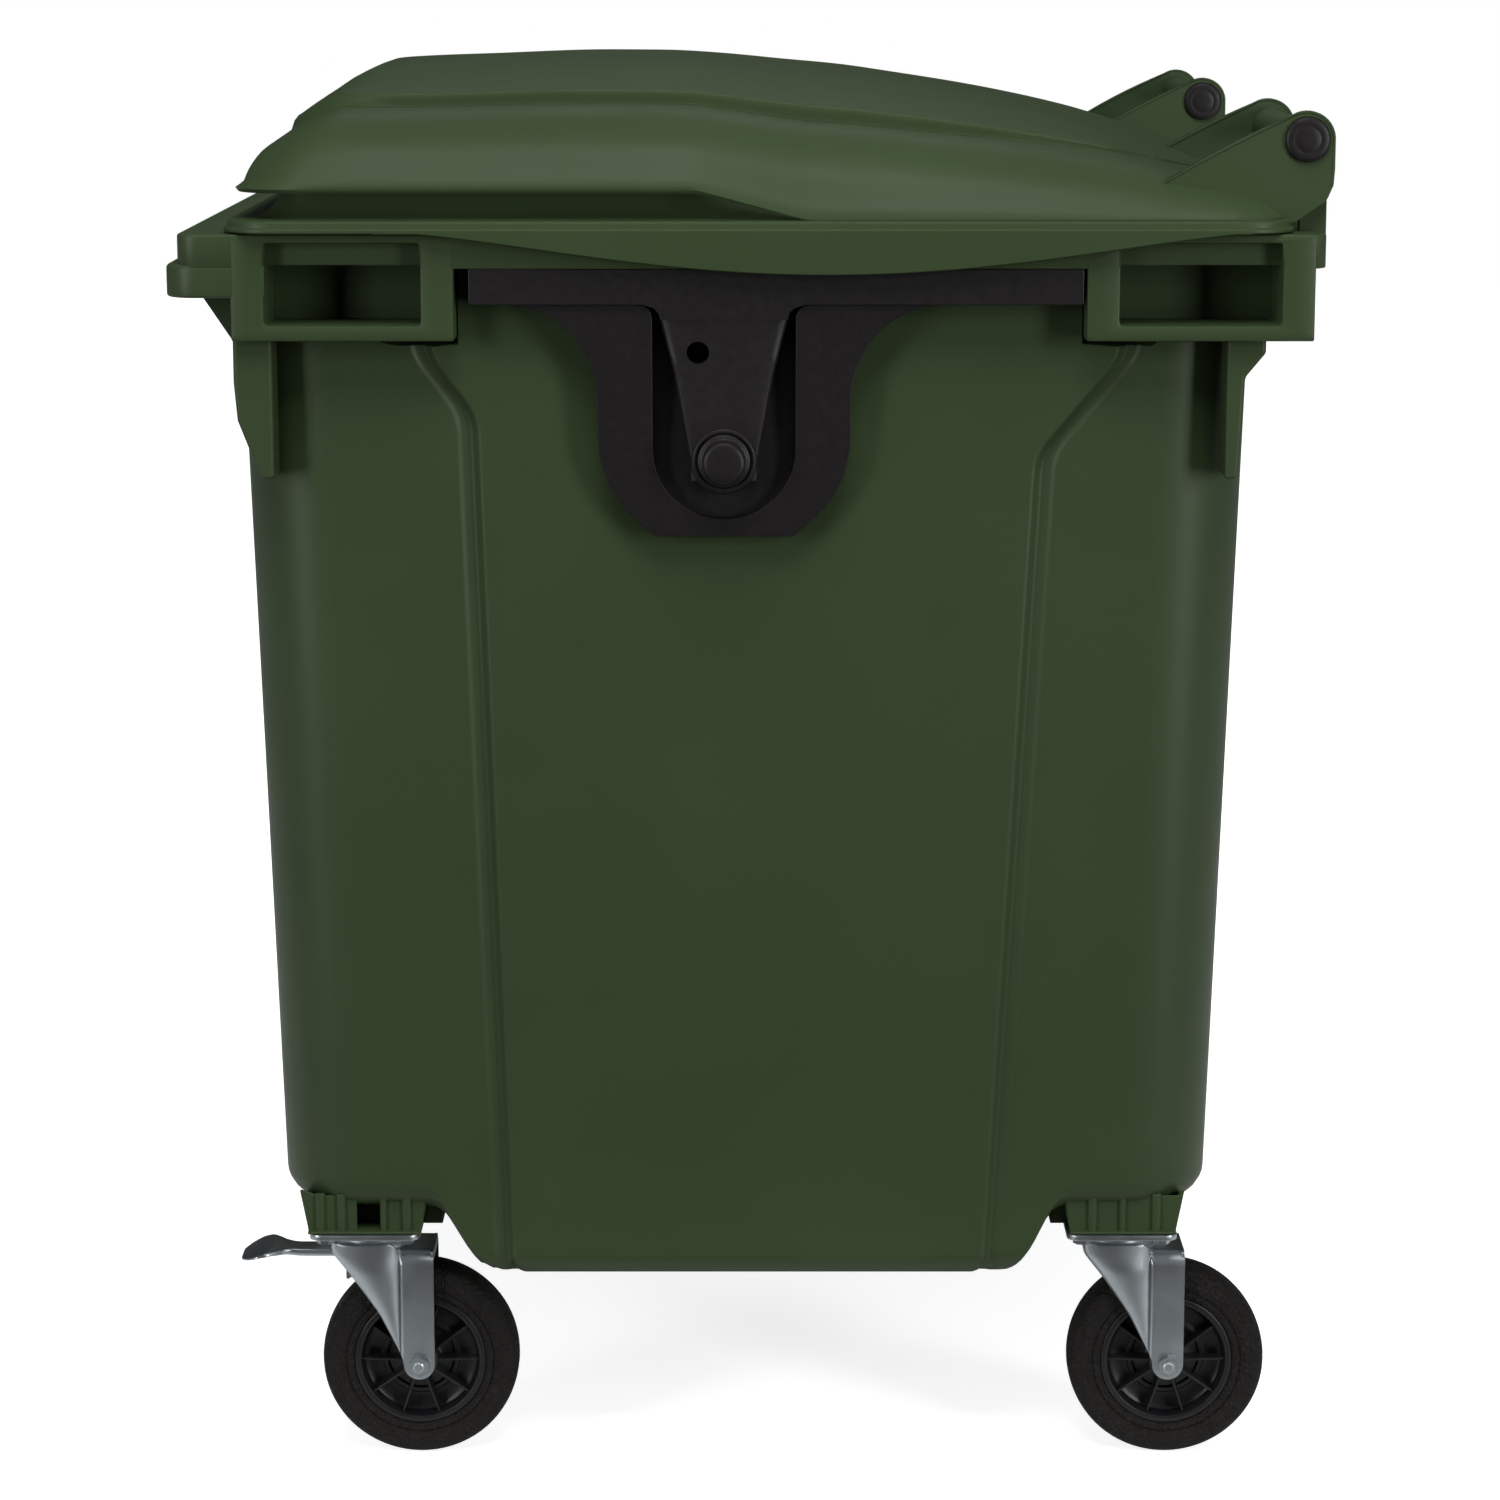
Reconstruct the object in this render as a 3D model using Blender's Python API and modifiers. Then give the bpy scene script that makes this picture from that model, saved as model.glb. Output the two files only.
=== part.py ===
"""Four-wheeled waste container of about 1100 litres with a domed lid.

Metres, +Z up. The origin is on the floor under the middle of the container.
The front, with the lid's grip, faces -Y. The hinges are at +Y, the lifting pins at +X and -X.
"""
import math

import bmesh
import bpy
import numpy as np
from mathutils import Matrix, Vector

# Gaps between pieces
fit_gap = 0.0003
overrun = 0.02

# Tub
tub_top = 1.2405
tub_half_length_top = 0.612
tub_half_length_base = 0.590
tub_half_width_top = 0.4898
tub_half_width_base = 0.4599
tub_middle_y = -0.0047
tub_corner_radius = 0.085
tub_wall = 0.005
floor_height = 0.270
floor_edge_radius = 0.030
keel_height = 0.202
keel_half_width_top = 0.3256
keel_half_width_base = 0.2785
keel_middle_y = -0.003
keel_edge_radius = 0.022
keel_inset = 0.0006
corner_steps = 4
edge_steps = 3

# Raised middle panel of each end wall
panel_proud = 0.008
panel_step = 0.015
panel_front_top = -0.322
panel_front_knee = -0.278
panel_front_base = -0.252
panel_rear_top = 0.371
panel_rear_knee = 0.291
panel_rear_base = 0.249
panel_upper_drop = 0.1165
panel_front_knee_drop = 0.058
panel_rear_knee_drop = 0.095
panel_sunk = 0.003
panel_foot_drop = 0.0015

# Rim frame round the mouth
rim_half_length = 0.655
rim_front = -0.538
rim_rear = 0.541
rim_depth = 0.032
rim_wall = 0.005
rim_corner_radius = 0.018
lip_front = -0.550
lip_top = 1.212
lip_bottom = 1.181
lip_half_length = 0.640
lip_back = -0.470
lip_wall = 0.006
gusset_drop = 0.078
gusset_thickness = 0.012
gusset_places_share = (-0.97, -0.5, 0.0, 0.5, 0.97)

# Lifting pockets at the four corners
pocket_bottom = 1.142
pocket_inner_x = 0.566
pocket_front_outer = -0.487
pocket_front_inner = -0.278
pocket_rear_inner = 0.316
pocket_rear_outer = 0.530
pocket_window_side = 0.031
pocket_window_bottom = 1.155
pocket_window_top = 1.232
pocket_back = 0.005

# Posts under the pockets
post_width = 0.037
post_foot = 1.008
post_front_knee = 1.069
post_rear_knee = 1.110
post_front_lean = 0.003
post_rear_lean = 0.019
post_outer_x = 0.640
post_inner_x = 0.596
post_front_edge = -0.488
post_rear_edge = 0.487

# Hinge barrels on the rear rim
hinge_y = 0.5235
hinge_z = 1.327
hinge_pin_radius = 0.010
barrel_radius = 0.017
barrel_inner_x = 0.3195
barrel_outer_x = 0.6055
web_thickness = 0.010
web_front = 0.519
web_rear = 0.545
web_foot = 1.210
web_shoulder = 1.269

# Lid
lid_half_length = 0.655
lid_front = -0.486
lid_rear = 0.505
lid_corner_radius = 0.055
lid_wall = 0.004
lid_crown = 1.396
lid_lip_height = 1.282
lid_tail_height = 1.2534
skirt_half_length = 0.670
skirt_front = -0.4955
skirt_rear = 0.512
skirt_edge_radius = 0.050
skirt_top = 1.251
skirt_rest = 1.2418
skirt_lowest = 1.2035
skirt_drop_front = -0.310
skirt_drop_rear = 0.456
grip_depth = 0.038
grip_end_front = -0.047
grip_end_rear = 0.056
grip_roof = 1.278
lid_perimeter_steps = 3
lid_side_steps = 7
crown_shares = ((0.0, 0.0), (0.008, 0.14), (0.018, 0.26), (0.031, 0.40), (0.046, 0.60), (0.076, 0.77),
                (0.107, 0.886), (0.179, 0.94), (0.264, 0.98), (0.349, 1.0), (0.548, 0.888),
                (0.630, 0.80), (0.720, 0.66), (0.852, 0.41), (0.915, 0.28), (0.965, 0.12), (1.0, 0.0))
side_shares = ((0.0, 0.0), (0.009, 0.19), (0.031, 0.36), (0.069, 0.51), (0.130, 0.625), (0.190, 0.675),
               (0.221, 0.655), (0.252, 0.70), (0.328, 0.80), (0.610, 0.94), (1.0, 1.0))
lid_ring_shares = (0.013, 0.034, 0.075, 0.14, 0.20, 0.232, 0.265, 0.345, 0.52, 0.70, 0.80, 0.94)
hollow_ring_shares = (0.034, 0.14, 0.20, 0.265, 0.52, 0.80, 0.94)

# Lid hinge arms
arm_thickness = 0.012
arm_inner_x = 0.3055
arm_outer_x = 0.6080
arm_end_radius = 0.0265
arm_front = 0.392
arm_front_height = 1.289
arm_shoulder_y = 0.497
arm_shoulder_z = 1.346
arm_heel_z = 1.290
arm_heel_y = 0.543
arm_toe_z = 1.272
arm_foot_y = 0.512
arm_foot_z = 1.2497
cap_radius = 0.0205
cap_thickness = 0.005
cap_dome = 0.002

# Trunnion bracket and pin
trunnion_y = -0.0245
trunnion_z = 1.029
trunnion_stub = 0.035
trunnion_pin_radius = 0.020
trunnion_collar_radius = 0.025
trunnion_collar_length = 0.008
bar_front = -0.264
bar_rear = 0.313
bar_bottom = 1.175
bar_face = 0.655
plate_face_top = 0.650
plate_face_base = 0.634
plate_base = 0.953
plate_base_half = 0.068
plate_bulge_half = 0.120
plate_bulge_z = 1.002
plate_flare_width = 0.088
plate_flare_depth = 0.088
plate_flare_shares = ((1.0, 0.0), (0.69, 0.20), (0.375, 0.49), (0.15, 0.79), (0.0, 1.0))
plate_bulge_radius = 0.115
plate_sunk = 0.0004
recess_half = 0.0675
recess_centre_z = 1.0375
recess_top = 1.175
recess_floor = 0.624
tongue_top_half = 0.0595
tongue_base_half = 0.034
tongue_face = 0.642
boss_radius = 0.034
boss_face = 0.650
bracket_hole_radius = 0.010
bracket_hole_y = -0.049
bracket_hole_z = 1.130

# Drain plug in the keel's floor
drain_radius = 0.030
drain_flange_radius = 0.042
drain_flange = 0.006
drain_grip = 0.012
drain_grip_half = 0.022

# Caster places
caster_x = 0.523
caster_front_y = -0.384
caster_rear_y = 0.371

# Caster mount blocks under the tub
mount_half_x = 0.0655
mount_front_reach = 0.056
mount_rear_reach = 0.056
mount_lean = 0.006
mount_bottom = 0.2453
mount_slot_width = 0.020
mount_slot_depth = 0.014
mount_slot_places_share = (-0.62, 0.0, 0.62)
mount_well_radius = 0.022

# Caster
wheel_radius = 0.1003
wheel_sides = 24
tyre_half_width = 0.025
tyre_shoulder = 0.007
tyre_tread_half = 0.005
tyre_tread_shares = ((0.0, 0.0), (0.0145, 0.5), (0.028, 0.76), (0.052, 0.98))
tyre_bore = 0.0665
hub_radius = 0.0662
hub_half_width = 0.022
hub_rim_wall = 0.006
hub_web_half = 0.004
hub_boss_radius = 0.018
hub_boss_half = 0.027
hub_rib_count = 10
hub_rib_thickness = 0.003
hub_rib_half = 0.015
axle_radius = 0.006
trail = 0.0503
plate_half_x = 0.0675
plate_half_y = 0.055
plate_thickness = 0.006
plate_corner = 0.008
plate_bolt_x = 0.0525
plate_bolt_y = 0.0400
race_radius = 0.035
race_depth = 0.0067
race_side_gap = 0.003
bowl_wall = 0.010
bowl_plate_gap = 0.0015
bowl_thickness = 0.004
crown_thickness = 0.004
leg_inner = 0.0310
leg_thickness = 0.004
leg_front = -0.038
leg_rear = 0.0675
leg_cheek_z = 0.211
leg_mid_y = 0.007
leg_mid_z = 0.161
leg_end_radius = 0.0175
kingpin_radius = 0.006
kingpin_head_radius = 0.011
kingpin_head = 0.0032
kingpin_top_head = 0.0045
axle_head_radius = 0.0105
axle_head = 0.006
nut_radius = 0.0105
nut_thickness = 0.007
axle_tail = 0.003
mount_bolt_radius = 0.0048
mount_bolt_head_radius = 0.0085
mount_bolt_head = 0.0055
mount_bolt_length = 0.024

# Brake pedal
pedal_pivot_y = 0.036
pedal_pivot_z = 0.2102
pedal_pin_radius = 0.0035
pedal_half_width = 0.0135
pedal_pad_half = 0.034
pedal_tip_half = 0.022
pedal_top = 0.2140
pedal_bottom = 0.2064
pedal_tip_y = -0.129
pedal_tip_z = 0.2055
pedal_hump_y = -0.095
pedal_hump_z = 0.2155
pedal_neck_y = -0.083
pedal_tail_y = 0.045
shoe_front_y = -0.024
shoe_rear_y = -0.006
shoe_front_z = 0.1815
shoe_rear_z = 0.1920
pedal_sweep_margin = 0.003
pedal_sweep_top = 0.2300

# Derived places
panel_knee_upper = tub_top - panel_upper_drop
panel_front_knee_height = panel_knee_upper - panel_front_knee_drop
panel_rear_knee_height = panel_knee_upper - panel_rear_knee_drop
gusset_foot = lip_top - gusset_drop
trunnion_reach = boss_face + trunnion_stub
rim_bottom = tub_top - rim_depth
wheel_height = wheel_radius * math.cos(math.pi / wheel_sides)
plate_top_z = mount_bottom - fit_gap
plate_bottom_z = plate_top_z - plate_thickness
bowl_inner = race_radius + race_side_gap
bowl_outer = bowl_inner + bowl_wall
bowl_top = plate_bottom_z - bowl_plate_gap
bowl_floor = plate_bottom_z - race_depth - fit_gap
crown_top = bowl_floor - bowl_thickness
pedal_sweep = math.hypot(pedal_tip_y, pedal_tip_half) + pedal_sweep_margin
casters = (
    ("front_left", -caster_x, caster_front_y, True),
    ("front_right", caster_x, caster_front_y, True),
    ("rear_left", -caster_x, caster_rear_y, False),
    ("rear_right", caster_x, caster_rear_y, False),
)


# Collections and materials
def start_scene():
    for item in list(bpy.data.objects):
        bpy.data.objects.remove(item, do_unlink=True)
    groups = {}
    for name in ("waste_container", "cutters"):
        group = bpy.data.collections.new(name)
        bpy.context.scene.collection.children.link(group)
        groups[name] = group
    return groups["waste_container"], groups["cutters"]


parts, cutters = start_scene()


def make_material(name, colour, roughness, metallic):
    item = bpy.data.materials.new(name)
    item.use_nodes = True
    shader = item.node_tree.nodes["Principled BSDF"]
    shader.inputs["Base Color"].default_value = (*colour, 1.0)
    shader.inputs["Roughness"].default_value = roughness
    shader.inputs["Metallic"].default_value = metallic
    return item


green_plastic = make_material("green_polyethylene", (0.034, 0.050, 0.023), 0.48, 0.0)
black_plastic = make_material("black_nylon", (0.011, 0.010, 0.010), 0.5, 0.0)
zinc_steel = make_material("zinc_plated_steel", (0.46, 0.50, 0.53), 0.35, 1.0)
tyre_rubber = make_material("tyre_rubber", (0.013, 0.011, 0.010), 0.8, 0.0)


# Small makers shared by every piece
def link(name, mesh, group, material=None, parent=None):
    item = bpy.data.objects.new(name, mesh)
    group.objects.link(item)
    if material is not None:
        mesh.materials.clear()
        mesh.materials.append(material)
    if parent is not None:
        item.parent = parent
    if group == cutters:
        item.hide_render = True
        item.display_type = "WIRE"
    return item


def from_bmesh(name, work, group, material=None, parent=None):
    mesh = bpy.data.meshes.new(name)
    work.to_mesh(mesh)
    work.free()
    return link(name, mesh, group, material, parent)


def box(name, low, high, group=cutters, material=None, parent=None):
    low = Vector(low)
    high = Vector(high)
    work = bmesh.new()
    place = Matrix.LocRotScale((low + high) / 2, None, high - low)
    bmesh.ops.create_cube(work, size=1.0, matrix=place)
    return from_bmesh(name, work, group, material, parent)


def rod(name, radius, start, end, sides, group=cutters, material=None, parent=None):
    """A round bar from start to end, whose first edge line lies half a side off the axes."""
    start = Vector(start)
    end = Vector(end)
    turn = (end - start).to_track_quat("Z", "Y").to_matrix().to_4x4()
    place = Matrix.Translation((start + end) / 2) @ turn
    work = bmesh.new()
    bmesh.ops.create_cone(work, cap_ends=True, segments=sides, radius1=radius, radius2=radius,
                          depth=(end - start).length, matrix=place)
    return from_bmesh(name, work, group, material, parent)


def turned(name, profile, sides, turn=None, place=(0, 0, 0), group=cutters, material=None,
           parent=None, closed=False):
    """A turned piece. The profile (radius, height) runs down its outer side."""
    work = bmesh.new()
    corners = [work.verts.new((radius, 0.0, height)) for radius, height in profile]
    for first, second in zip(corners, corners[1:]):
        work.edges.new((first, second))
    if closed:
        work.edges.new((corners[-1], corners[0]))
    item = from_bmesh(name, work, group, material, parent)
    item.matrix_local = Matrix.Translation(place) @ (turn or Matrix.Identity(4))
    screw = item.modifiers.new("turn", "SCREW")
    screw.steps = sides
    screw.render_steps = sides
    screw.use_merge_vertices = True
    screw.merge_threshold = 0.00001
    screw.use_smooth_shade = False
    return item


def rounded(corners, step=math.radians(22.5)):
    """Points of a closed outline. Each corner is (u, v, radius) and its arc takes equal steps."""
    points = []
    total = len(corners)
    for index, (u, v, radius) in enumerate(corners):
        here = Vector((u, v))
        before = Vector(corners[index - 1][:2]) - here
        after = Vector(corners[(index + 1) % total][:2]) - here
        if radius <= 0:
            points.append((u, v))
            continue
        before.normalize()
        after.normalize()
        opening = before.angle(after)
        reach = radius / math.tan(opening / 2)
        centre = here + (before + after).normalized() * (radius / math.sin(opening / 2))
        first = here + before * reach - centre
        sweep = math.pi - opening
        side = 1.0 if before.x * after.y - before.y * after.x < 0 else -1.0
        count = max(2, round(sweep / step))
        for part in range(count + 1):
            angle = side * sweep * part / count
            spot = centre + Matrix.Rotation(angle, 2) @ first
            points.append((spot.x, spot.y))
    return points


def prism(name, points, low, high, group=cutters, material=None, parent=None):
    """An outline in Y and Z carried along X. low and high are numbers or functions of Z."""
    near = low if callable(low) else (lambda z: low)
    far = high if callable(high) else (lambda z: high)
    work = bmesh.new()
    first = [work.verts.new((near(z), y, z)) for y, z in points]
    second = [work.verts.new((far(z), y, z)) for y, z in points]
    return close_loft(name, work, [first, second], group, material, parent)


def close_loft(name, work, rings, group=cutters, material=None, parent=None):
    """Walls between rings of equal count, with a face on each end."""
    for lower, upper in zip(rings, rings[1:]):
        total = len(lower)
        for index in range(total):
            after = (index + 1) % total
            work.faces.new((lower[index], lower[after], upper[after], upper[index]))
    work.faces.new(list(reversed(rings[0])))
    work.faces.new(rings[-1])
    bmesh.ops.recalc_face_normals(work, faces=work.faces)
    return from_bmesh(name, work, group, material, parent)


def plan_ring(half_x, half_y, middle_y, radius, steps):
    """Points of a rounded rectangle seen from above, corner by corner."""
    radius = min(radius, half_x, half_y)
    points = []
    for quarter in range(4):
        sign_x = (1, -1, -1, 1)[quarter]
        sign_y = (1, 1, -1, -1)[quarter]
        for part in range(steps + 1):
            angle = math.pi / 2 * (quarter + part / steps)
            points.append((sign_x * (half_x - radius) + radius * math.cos(angle),
                           middle_y + sign_y * (half_y - radius) + radius * math.sin(angle)))
    return points


def boolean(target, tool, operation):
    step = target.modifiers.new(operation.lower(), "BOOLEAN")
    step.operation = operation
    step.solver = "EXACT"
    step.object = tool


def cut(target, *tools):
    for tool in tools:
        boolean(target, tool, "DIFFERENCE")


def join(target, *tools):
    for tool in tools:
        boolean(target, tool, "UNION")


def settle(item):
    """Turn a piece's modifiers into its mesh, so that copies can share it."""
    bpy.context.view_layer.update()
    seen = item.evaluated_get(bpy.context.evaluated_depsgraph_get())
    mesh = bpy.data.meshes.new_from_object(seen)
    mesh.transform(item.matrix_world)
    item.modifiers.clear()
    return mesh


def shade(mesh):
    mesh.shade_smooth()
    mesh.set_sharp_from_angle(angle=math.radians(35))


def axis_empty(name, place, parent=None):
    item = bpy.data.objects.new(name, None)
    item.empty_display_size = axle_radius
    parts.objects.link(item)
    item.location = place
    item.parent = parent
    return item


along_x = Matrix.Rotation(math.pi / 2, 4, "Y")


# Tub
def tub_share(height):
    return (height - keel_height) / (tub_top - keel_height)


def tub_half_length(height):
    return tub_half_length_base + (tub_half_length_top - tub_half_length_base) * tub_share(height)


def tub_half_width(height):
    return tub_half_width_base + (tub_half_width_top - tub_half_width_base) * tub_share(height)


def edge_rings(bottom, radius):
    """Heights and insets of the rounded lower edge."""
    rings = []
    for part in range(edge_steps + 1):
        angle = math.pi / 2 * part / edge_steps
        rings.append((bottom + radius * (1 - math.cos(angle)), radius * (1 - math.sin(angle))))
    return rings


def tub_solid(name, inset, top):
    work = bmesh.new()
    rings = []
    levels = edge_rings(floor_height + inset, floor_edge_radius)
    levels.append((top, 0.0))
    for height, edge in levels:
        back = inset + edge
        outline = plan_ring(tub_half_length(height) - back, tub_half_width(height) - back,
                            tub_middle_y, tub_corner_radius - back, corner_steps)
        rings.append([work.verts.new((x, y, height)) for x, y in outline])
    return close_loft(name, work, rings)


def keel_solid(name, inset):
    """Trough between the front and rear casters, with the same outline all along X."""
    top = floor_height + floor_edge_radius
    bottom = keel_height + inset
    radius = keel_edge_radius - inset
    corners = [(-keel_half_width_top + inset, top, 0), (-keel_half_width_base + inset, bottom, radius),
               (keel_half_width_base - inset, bottom, radius), (keel_half_width_top - inset, top, 0)]
    outline = rounded([(keel_middle_y + y, z, r) for y, z, r in corners])

    def face(z):
        return tub_half_length(z) - inset - keel_inset

    return prism(name, outline, lambda z: -face(z), face)


def pedal_sweep_cutter(name, x, extra):
    return rod(name, pedal_sweep + extra, (x, caster_front_y, 0.0),
               (x, caster_front_y, pedal_sweep_top + extra), 32)


def panel_solid(name, side):
    """Raised middle of an end wall, wider above its knee, with sloping edges."""
    top = rim_bottom + rim_wall
    foot = keel_height - panel_foot_drop
    outer = [(panel_front_top, top), (panel_front_top, panel_knee_upper),
             (panel_front_knee, panel_front_knee_height), (panel_front_base, foot),
             (panel_rear_base, foot), (panel_rear_knee, panel_rear_knee_height),
             (panel_rear_top, panel_knee_upper), (panel_rear_top, top)]
    middle = (panel_front_base + panel_rear_base) / 2
    base = []
    face = []
    for y, z in outer:
        step = panel_step if y < middle else -panel_step
        base.append((side * (tub_half_length(z) - panel_sunk), y, z))
        face.append((side * (tub_half_length(z) + panel_proud), y + step, z))
    work = bmesh.new()
    rings = [[work.verts.new(spot) for spot in ring] for ring in (base, face)]
    return close_loft(name, work, rings)


def rim_tray():
    work = bmesh.new()
    half_y = (rim_rear - rim_front) / 2
    middle = (rim_rear + rim_front) / 2
    outline = plan_ring(rim_half_length, half_y, middle, rim_corner_radius, edge_steps)
    rings = [[work.verts.new((x, y, z)) for x, y in outline] for z in (rim_bottom, tub_top)]
    tray = close_loft("rim_tray", work, rings)
    hollow = box("rim_hollow",
                 (-rim_half_length + rim_wall, rim_front + rim_wall, rim_bottom - overrun),
                 (rim_half_length - rim_wall, rim_rear - rim_wall, tub_top - rim_wall))
    cut(tray, hollow)
    return tray


def front_lip():
    outline = rounded([(lip_front, lip_top, lip_wall), (lip_front, lip_bottom, lip_wall),
                       (lip_back, lip_bottom, 0), (lip_back, lip_top + lip_wall, 0),
                       (rim_front + rim_wall / 2, lip_top + lip_wall, 0)])
    lip = prism("front_lip", outline, -lip_half_length, lip_half_length)
    hollow = box("front_lip_hollow",
                 (-lip_half_length + lip_wall, lip_front + lip_wall, lip_bottom - overrun),
                 (lip_half_length - lip_wall, -tub_half_width(lip_top) + tub_middle_y - lip_wall,
                  lip_top - lip_wall))
    cut(lip, hollow)
    return lip


def front_gusset(index, share):
    x = share * (tub_half_length_top - gusset_thickness)
    wall = tub_middle_y - tub_half_width(gusset_foot)
    points = [(lip_front + 2 * lip_wall, lip_top - lip_wall / 2),
              (lip_front + 5 * lip_wall, lip_bottom - lip_wall / 2),
              (wall - lip_wall, gusset_foot), (wall + tub_wall / 2, gusset_foot),
              (wall + tub_wall / 2, lip_top - lip_wall / 2)]
    return prism("front_gusset_%d" % index, points, x - gusset_thickness / 2,
                 x + gusset_thickness / 2)


def pocket_block(side, front):
    low_y, high_y = ((pocket_front_outer, pocket_front_inner) if front
                     else (pocket_rear_inner, pocket_rear_outer))
    name = "pocket_%s_%s" % ("front" if front else "rear", "right" if side > 0 else "left")
    inner, outer = sorted((side * pocket_inner_x, side * (rim_half_length - keel_inset)))
    block = box(name, (inner, low_y, pocket_bottom), (outer, high_y, tub_top - keel_inset))
    near, far = sorted((side * (pocket_inner_x + pocket_back), side * (rim_half_length + overrun)))
    window = box(name + "_window", (near, low_y + pocket_window_side, pocket_window_bottom),
                 (far, high_y - pocket_window_side, pocket_window_top))
    return block, window


def corner_post(side, front):
    outer = post_front_edge if front else post_rear_edge
    toward = 1 if front else -1
    knee = post_front_knee if front else post_rear_knee
    inward = post_front_lean if front else post_rear_lean
    points = [(outer, pocket_bottom + overrun),
              (outer, (knee + pocket_bottom) / 2 if front else pocket_bottom),
              (outer + toward * inward, knee - tub_wall),
              (outer + toward * post_width * 0.6, post_foot),
              (outer + toward * post_width, post_foot),
              (outer + toward * post_width, pocket_bottom + overrun)]
    low, high = sorted((side * post_inner_x, side * post_outer_x))
    name = "post_%s_%s" % ("front" if front else "rear", "right" if side > 0 else "left")
    return prism(name, points, low, high)


def hinge_barrel(side):
    name = "barrel_%s" % ("right" if side > 0 else "left")
    return rod(name, barrel_radius, (side * barrel_inner_x, hinge_y, hinge_z),
               (side * barrel_outer_x, hinge_y, hinge_z), 20)


def hinge_web(side, index, x):
    points = [(web_front, tub_top - rim_wall), (web_front, web_shoulder),
              (hinge_y - barrel_radius * 0.8, hinge_z - barrel_radius * 0.3),
              (hinge_y + barrel_radius * 0.8, hinge_z), (web_rear, web_shoulder),
              (web_rear, web_foot + rim_wall), (web_rear - rim_wall, web_foot)]
    points.append((web_front, web_foot))
    name = "web_%s_%d" % ("right" if side > 0 else "left", index)
    centre = side * x
    return prism(name, points, centre - web_thickness / 2, centre + web_thickness / 2)


def mount_block(name, x, y):
    top = floor_height + tub_wall / 2
    outline = [(y - mount_front_reach, mount_bottom), (y + mount_rear_reach, mount_bottom),
               (y + mount_rear_reach + mount_lean, top), (y - mount_front_reach - mount_lean, top)]
    block = prism("mount_" + name, outline, x - mount_half_x, x + mount_half_x)
    for index, share in enumerate(mount_slot_places_share):
        centre = y + share * mount_front_reach
        for side in (-1, 1):
            face = x + side * mount_half_x
            slot = box("mount_slot_%s_%d_%d" % (name, index, side + 1),
                       (face - mount_slot_depth, centre - mount_slot_width / 2,
                        mount_bottom + tub_wall),
                       (face + mount_slot_depth, centre + mount_slot_width / 2,
                        floor_height - tub_wall))
            cut(block, slot)
    return block


def make_body():
    body = tub_solid("container_body", 0.0, tub_top - keel_inset)
    cutters.objects.unlink(body)
    parts.objects.link(body)
    body.hide_render = False
    body.display_type = "TEXTURED"
    body.data.materials.append(green_plastic)
    keel = keel_solid("keel_outer", 0.0)
    keel_hollow = keel_solid("keel_inner", tub_wall)
    for x in (-caster_x, caster_x):
        tag = "right" if x > 0 else "left"
        cut(keel, pedal_sweep_cutter("pedal_sweep_" + tag, x, 0.0))
        cut(keel_hollow, pedal_sweep_cutter("pedal_sweep_wall_" + tag, x, tub_wall))
    join(body, keel, rim_tray(), front_lip())
    for side in (-1, 1):
        tag = "right" if side > 0 else "left"
        join(body, panel_solid("panel_" + tag, side))
    for index, share in enumerate(gusset_places_share):
        join(body, front_gusset(index, share))
    for side in (-1, 1):
        for index, x in enumerate((barrel_inner_x + web_thickness / 2 + keel_inset,
                                   (barrel_inner_x + barrel_outer_x) / 2,
                                   barrel_outer_x - web_thickness / 2 - keel_inset)):
            join(body, hinge_web(side, index, x))
        join(body, hinge_barrel(side))
    blocks = [pocket_block(side, front) for side in (-1, 1) for front in (True, False)]
    for side in (-1, 1):
        for front in (True, False):
            join(body, corner_post(side, front))
    for name, x, y, braked in casters:
        join(body, mount_block(name, x, y))
    cut(body, tub_solid("tub_inner", tub_wall, tub_top + overrun), keel_hollow)
    for block, window in blocks:
        join(body, block)
        cut(body, window)
    for side in (-1, 1):
        tag = "right" if side > 0 else "left"
        cut(body, rod("barrel_bore_" + tag, hinge_pin_radius + fit_gap,
                      (side * (barrel_inner_x - overrun), hinge_y, hinge_z),
                      (side * (barrel_outer_x + overrun), hinge_y, hinge_z), 16))
    cut(body, rod("drain_bore", drain_radius + fit_gap,
                  (0, keel_middle_y, keel_height - overrun),
                  (0, keel_middle_y, keel_height + tub_wall + overrun), 24))
    for name, x, y, braked in casters:
        cut(body, rod("kingpin_well_" + name, mount_well_radius, (x, y, mount_bottom - overrun),
                      (x, y, mount_bottom + mount_bolt_length / 2), 16))
        for across in (-1, 1):
            for along in (-1, 1):
                spot = (x + across * plate_bolt_x, y + along * plate_bolt_y)
                label = "%s_%d%d" % (name, across + 1, along + 1)
                cut(body, rod("mount_bolt_hole_" + label, mount_bolt_radius + fit_gap,
                              (*spot, mount_bottom - overrun),
                              (*spot, mount_bottom + mount_bolt_length - plate_thickness + fit_gap),
                              8))
    return body


# Lid
def smooth_share(value, low, high):
    share = np.clip((value - low) / (high - low), 0.0, 1.0)
    return share * share * (3 - 2 * share)


def grip_share(y):
    """One where the side grip runs, nought behind its slanting end."""
    return 1.0 - smooth_share(y, grip_end_front, grip_end_rear)


def lid_base(y):
    return lid_tail_height + (lid_lip_height - lid_tail_height) * grip_share(y)


def lid_height(x, y):
    along = (y - lid_front) / (lid_rear - lid_front)
    across = 1 - abs(x) / lid_half_length
    crown = np.interp(along, *zip(*crown_shares))
    side = np.interp(across, *zip(*side_shares))
    base = lid_base(y)
    top = max(lid_lip_height + (lid_crown - lid_lip_height) * crown, base)
    if along > 0.9:
        top = base + (lid_crown - lid_lip_height) * crown * (1 + 0.8 * (1 - along))
    return base + (top - base) * side


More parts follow.
